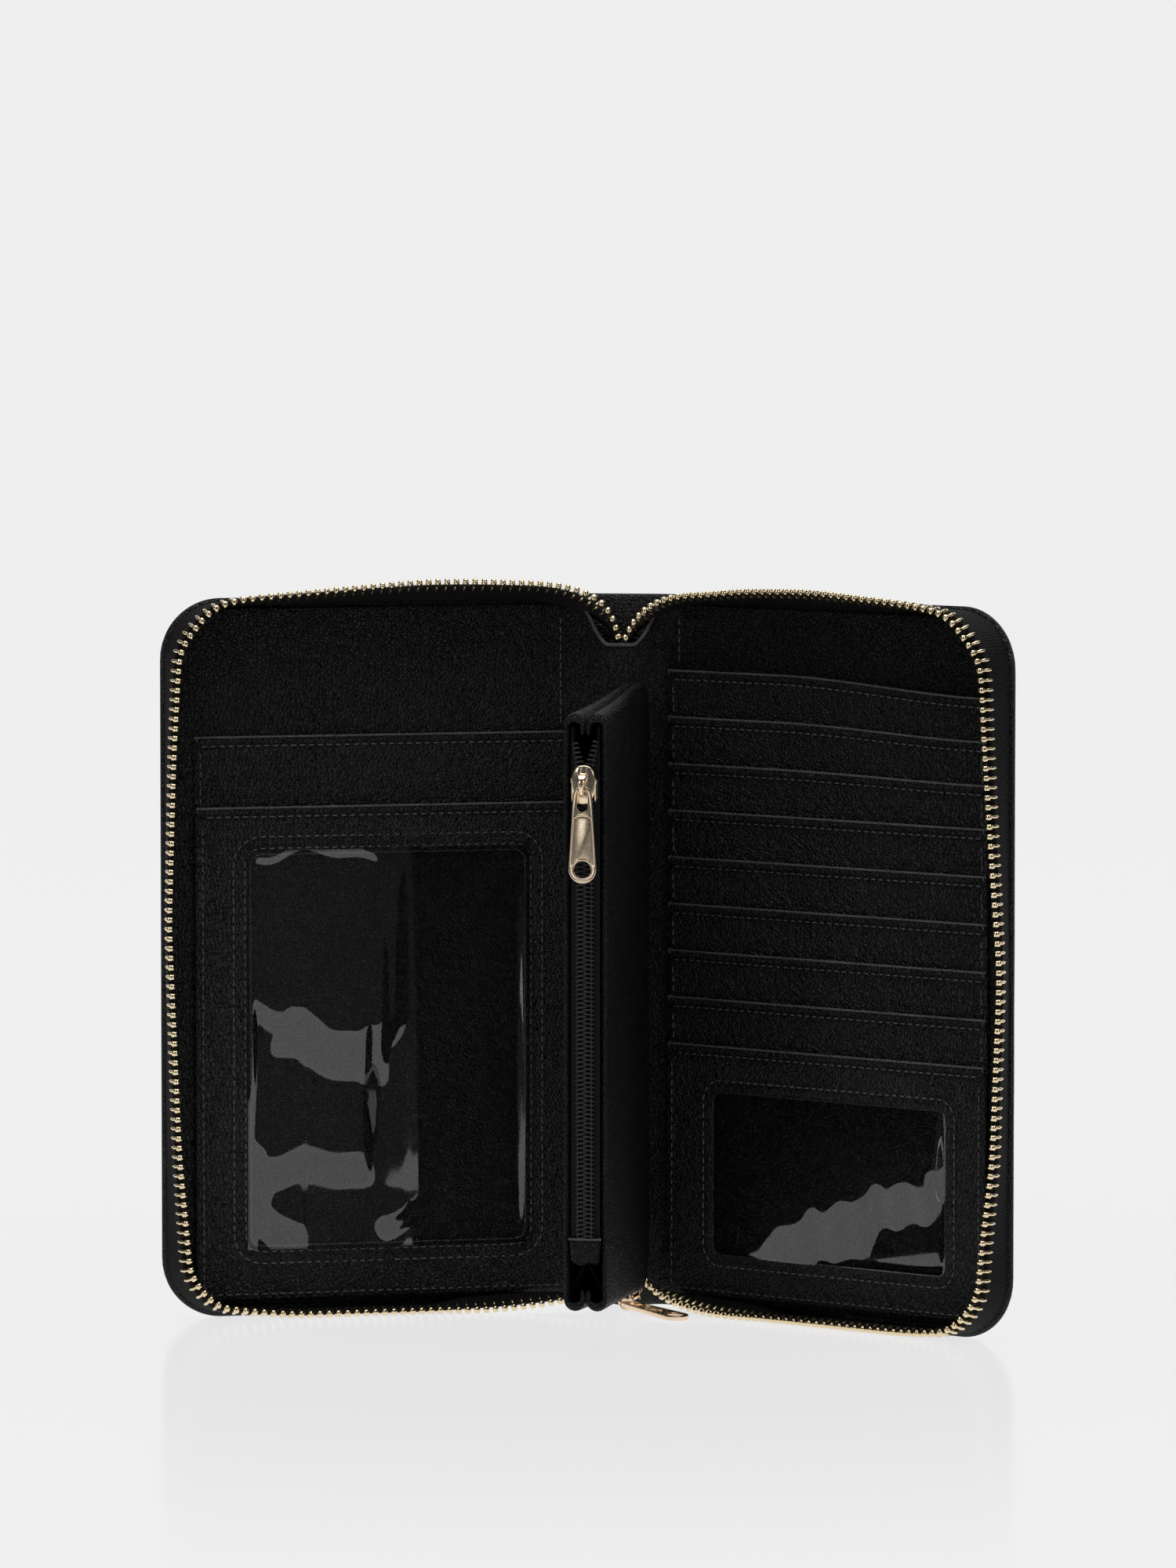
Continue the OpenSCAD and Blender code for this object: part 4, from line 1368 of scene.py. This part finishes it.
outer_leather(LEFT, "left_outer_leather", ["left_cover_leather", "spine_leather"])
outer_leather(RIGHT, "right_outer_leather", ["right_cover_leather", "spine_leather"])
lining(LEFT, "left_lining", ["left_lining_panel", "spine_lining"])
lining(RIGHT, "right_lining", ["right_lining_panel", "spine_lining"])
notch_edge(LEFT, "left_lining_edge_highlight")
notch_edge(RIGHT, "right_lining_edge_highlight")

folded_panel(LEFT, "slip_pocket", (PANEL_START, PANEL_END, PANEL_LOW, SLIP_EDGE),
             "left_slip_pocket", shown=18.2, seed=11)
for cover, low in ((LEFT, SLIP_EDGE + 1.0), (RIGHT, SLOT_TOP + 1.0)):
    cover_row(cover, [(PANEL_START + 2.6, 2.4, b) for b in np.linspace(low, 184.6, 40)])
window_frame(LEFT, "window_pocket", (PANEL_START, PANEL_END, PANEL_LOW, WINDOW_EDGE), WINDOW,
             radius=3.0, back=WINDOW_BACK, seed=21, node_name="left_window_pocket",
             rows_out=(1.5, 4.6))
window_film(LEFT, "window_sheet", WINDOW, depth=WINDOW_FILM, tilt=left_tilt, limits=(-1.2, 1.0),
            node_name="left_window_film")

for index in range(SLOT_COUNT):
    edge = SLOT_TOP - index * SLOT_STEP
    folded_panel(RIGHT, f"card_strip_{index + 1}",
                 (PANEL_START, SLOTS_END, edge - SLOT_LENGTH, edge), f"card_slot_{index + 1}",
                 shown=11.8, seed=31 + index, droop=max(0.0, 3.4 - 1.1 * index), rise=SLOT_RISE)
window_frame(RIGHT, "id_pocket", (PANEL_START, SLOTS_END, PANEL_LOW, ID_EDGE), ID_WINDOW,
             radius=2.5, back=ID_BACK, seed=51, node_name="id_window_pocket", rows_out=(3.0,))
window_film(RIGHT, "id_sheet", ID_WINDOW, depth=ID_FILM, tilt=right_tilt, limits=(-0.35, 2.6),
            node_name="id_window_film")

# --- Build: main zip -----------------------------------------------------------

LEFT_CHAIN = Chain(
    LEFT,
    [(0, 0.1), (0.75, 0.1), (0.94, -1.2), (1.5, -4.0), (2.0, -3.3), (2.18, -0.9), (2.56, 1.3),
     (2.84, 0.1), (2.97, -1.0), (3.5, -3.0), (4.09, 1.7), (4.65, 4.9), (4.87, 4.8), (5, 4.2)],
    {"edge": ((-1.4, -6.8, 6.6), (0.5, 0.6, 0.45), 10.0, 6.0),
     "base": ((-3.2, -3.4, 4.8), (0.4, 0.8, 0.3), 9.0, 6.0)},
    {"edge": ((-0.9, -5.6, 177.7), (0.2, 0.1, -1.0), 15.0, 11.0),
     "base": ((-1.6, -1.9, 176.5), (0.25, 0.0, -1.0), 10.0, 8.0)})
RIGHT_CHAIN = Chain(
    RIGHT,
    [(0, 0.1), (0.85, 0.1), (1.0, -0.6), (1.5, -2.5), (2.03, -0.5), (2.19, 2.6), (2.51, 4.2),
     (2.83, 0.8), (2.91, -0.1), (3.5, -3.8), (4.15, 1.8), (4.52, 3.7), (4.8, 3.2), (5, 1.6)],
    {"edge": ((5.4, -6.2, 8.6), (-0.75, 0.3, 0.7), 19.0, 5.0),
     "base": ((6.8, -3.4, 5.4), (-0.6, 0.7, 0.4), 14.0, 5.0)},
    {"edge": ((1.5, -5.4, 177.4), (-0.35, 0.1, -0.93), 10.0, 9.0),
     "base": ((2.2, -1.9, 176.5), (-0.25, 0.0, -1.0), 9.0, 7.0)})
tape(LEFT_CHAIN, "left_tape", ["left_zip_tape", "main_zip_tape_end_top"])
tape(RIGHT_CHAIN, "right_tape", ["right_zip_tape", "main_zip_tape_end_bottom"])
teeth(LEFT_CHAIN, "left_teeth", 0.5, ["left_zip_teeth"])
teeth(RIGHT_CHAIN, "right_teeth", 0.0, ["right_zip_teeth"])

# --- Build: coin pocket and metals ------------------------------------------------

pocket_side(-1, "coin_left_side", "coin_left_panel")
pocket_side(1, "coin_right_side", "coin_right_panel")
pocket_lining(-1, "coin_left_fabric", "coin_left_lining")
pocket_lining(1, "coin_right_fabric", "coin_right_lining")
pleat(1, "coin_top_pleat", "coin_top_gusset")
pleat(-1, "coin_bottom_pleat", "coin_bottom_gusset")
coin_tape(-1, "coin_left_tape", "coin_zip_tape_left")
coin_tape(1, "coin_right_tape", "coin_zip_tape_right")
coin_coil(-1, "coin_left_coil", "coin_zip_coil_left")
coin_coil(1, "coin_right_coil", "coin_zip_coil_right")
end_tab()
hinge_strip()
coin_slider()
main_slider()
pull("coin_pull_tab",
     Matrix.Translation(Vector(coin(0, RING_Z - RING_R, RING_V)) * MM)
     @ Matrix.Rotation(-POCKET_TURN, 4, "Z"), "coin_pull", "coin_zip_pull")
RING_FRONT = Vector((0, -RING_R * math.cos(MAIN_PULL_HANG), -RING_R * math.sin(MAIN_PULL_HANG)))
pull("main_pull_tab",
     Matrix.Translation(Vector(MAIN_RING) * MM) @ Matrix.Rotation(MAIN_PULL_TURN, 4, "Z")
     @ Matrix.Translation(RING_FRONT * MM) @ Matrix.Rotation(MAIN_PULL_RISE, 4, "X"),
     "main_pull", "main_zip_pull")
for cover in (LEFT, RIGHT):
    outer_seam(cover)
    finish_rows(cover)

# --- CAD nodes that stay ------------------------------------------------------

for name in ("left_cover_board", "right_cover_board"):
    mesh = frame["nodes"][name].data
    mesh.materials.clear()
    mesh.materials.append(BOARD)


# --- Stage, light and camera -------------------------------------------------

PAPER = (0.871, 0.871, 0.879)
TABLE_EDGE = -0.47


def studio():
    """A pale table that curves up behind, soft light from above, and small lights in front. The table's
    glow is a little dimmer near the wallet, a painted shadow.
    """
    table = principled("table_paper", Base_Color=(0.045, 0.045, 0.0455, 1), Roughness=0.9,
                       Specular_IOR_Level=0.0, Emission_Strength=1.0)
    tree = table.node_tree
    where = node(table, "ShaderNodeTexCoord").outputs["Object"]
    reach = node(table, "ShaderNodeVectorMath", operation="LENGTH")
    link(table, where, reach.inputs[0])
    # The glow is dimmer near the wallet than farther out: a painted contact shadow on the table.
    glow_with_painted_shadow = ramp(table, reach.outputs["Value"], 0.16, 0.5, tuple(0.95 * c for c in PAPER),
                tuple(0.968 * c for c in PAPER))
    link(table, glow_with_painted_shadow, tree.nodes["Principled BSDF"].inputs["Emission Color"])
    gloss = node(table, "ShaderNodeBsdfGlossy", Roughness=0.13)
    gloss.inputs["Color"].default_value = (1, 1, 1, 1)
    mixed = node(table, "ShaderNodeMixShader")
    link(table, ramp(table, reach.outputs["Value"], 0.2, 0.5, (0.09,) * 3, (0.0,) * 3),
         mixed.inputs["Fac"])
    link(table, tree.nodes["Principled BSDF"].outputs[0], mixed.inputs[1])
    link(table, gloss.outputs[0], mixed.inputs[2])
    link(table, mixed.outputs[0], tree.nodes["Material Output"].inputs["Surface"])
    wall = principled("wall_paper", Base_Color=(0.0, 0.0, 0.0, 1), Roughness=1.0,
                      Specular_IOR_Level=0.0, Emission_Color=(*PAPER, 1), Emission_Strength=0.985)
    radius = 0.5
    back = 2.45
    curve = [(back + radius * math.sin(a), radius * (1 - math.cos(a)))
             for a in np.radians(np.linspace(0, 90, 17))]
    line = [(TABLE_EDGE, 0.0), (0.3, 0.0)] + curve + [(back + radius, 3.2)]
    mesh = bpy.data.meshes.new("backdrop")
    verts, faces = [], []
    for y, z in line:
        verts += [(-3.0, y, z), (3.0, y, z)]
    for k in range(len(line) - 1):
        faces.append((2 * k, 2 * k + 1, 2 * k + 3, 2 * k + 2))
    mesh.from_pydata(verts, [], faces)
    mesh.shade_smooth()
    mesh.materials.append(table)
    mesh.materials.append(wall)
    for face in mesh.polygons:
        face.material_index = 0 if face.center.z < 0.001 else 1
    backdrop = bpy.data.objects.new("backdrop", mesh)
    bpy.context.scene.collection.objects.link(backdrop)

    def area(name, place, target, width, height, power):
        data = bpy.data.lights.new(name, "AREA")
        data.shape = "RECTANGLE"
        data.size, data.size_y = width, height
        data.energy = power
        lamp = bpy.data.objects.new(name, data)
        lamp.location = place
        aim = Vector(target) - Vector(place)
        lamp.rotation_mode = "QUATERNION"
        lamp.rotation_quaternion = aim.to_track_quat("-Z", "Y")
        bpy.context.scene.collection.objects.link(lamp)

    area("top_light", (0.0, 0.0, 1.5), (0, 0.02, 0), width=1.7, height=1.3, power=17)
    area("left_light", (-0.9, -1.3, 0.9), (0, 0, 0.1), width=0.22, height=0.5, power=2.9)
    area("right_light", (1.1, -1.1, 0.8), (0, 0, 0.1), width=0.18, height=0.5, power=2.2)
    area("front_card", (-0.45, -2.1, 0.02), (0, 0, 0.12), width=0.34, height=0.34,
         power=0.5)
    world = bpy.data.worlds.new("studio")
    world.use_nodes = True
    shade = world.node_tree.nodes["Background"]
    shade.inputs["Color"].default_value = (0.9, 0.93, 1.0, 1)
    shade.inputs["Strength"].default_value = 0.06
    bpy.context.scene.world = world


def camera():
    """The viewpoint: a long lens, a little to the right of the spine and above the table."""
    turn, rise, distance = math.radians(7.28), math.radians(4.29), 2.369
    target = Vector((-0.0095, 0.0, 0.13885))
    data = bpy.data.cameras.new("camera")
    data.lens = 205.25
    data.sensor_width = 36.0
    data.clip_end = 20.0
    eye = bpy.data.objects.new("camera", data)
    eye.location = target + distance * Vector((
        math.sin(turn) * math.cos(rise), -math.cos(turn) * math.cos(rise), math.sin(rise)))
    eye.rotation_euler = (math.radians(90) - rise, 0, turn)
    bpy.context.scene.collection.objects.link(eye)
    bpy.context.scene.camera = eye


studio()
camera()
bpy.context.scene.view_settings.view_transform = "Standard"
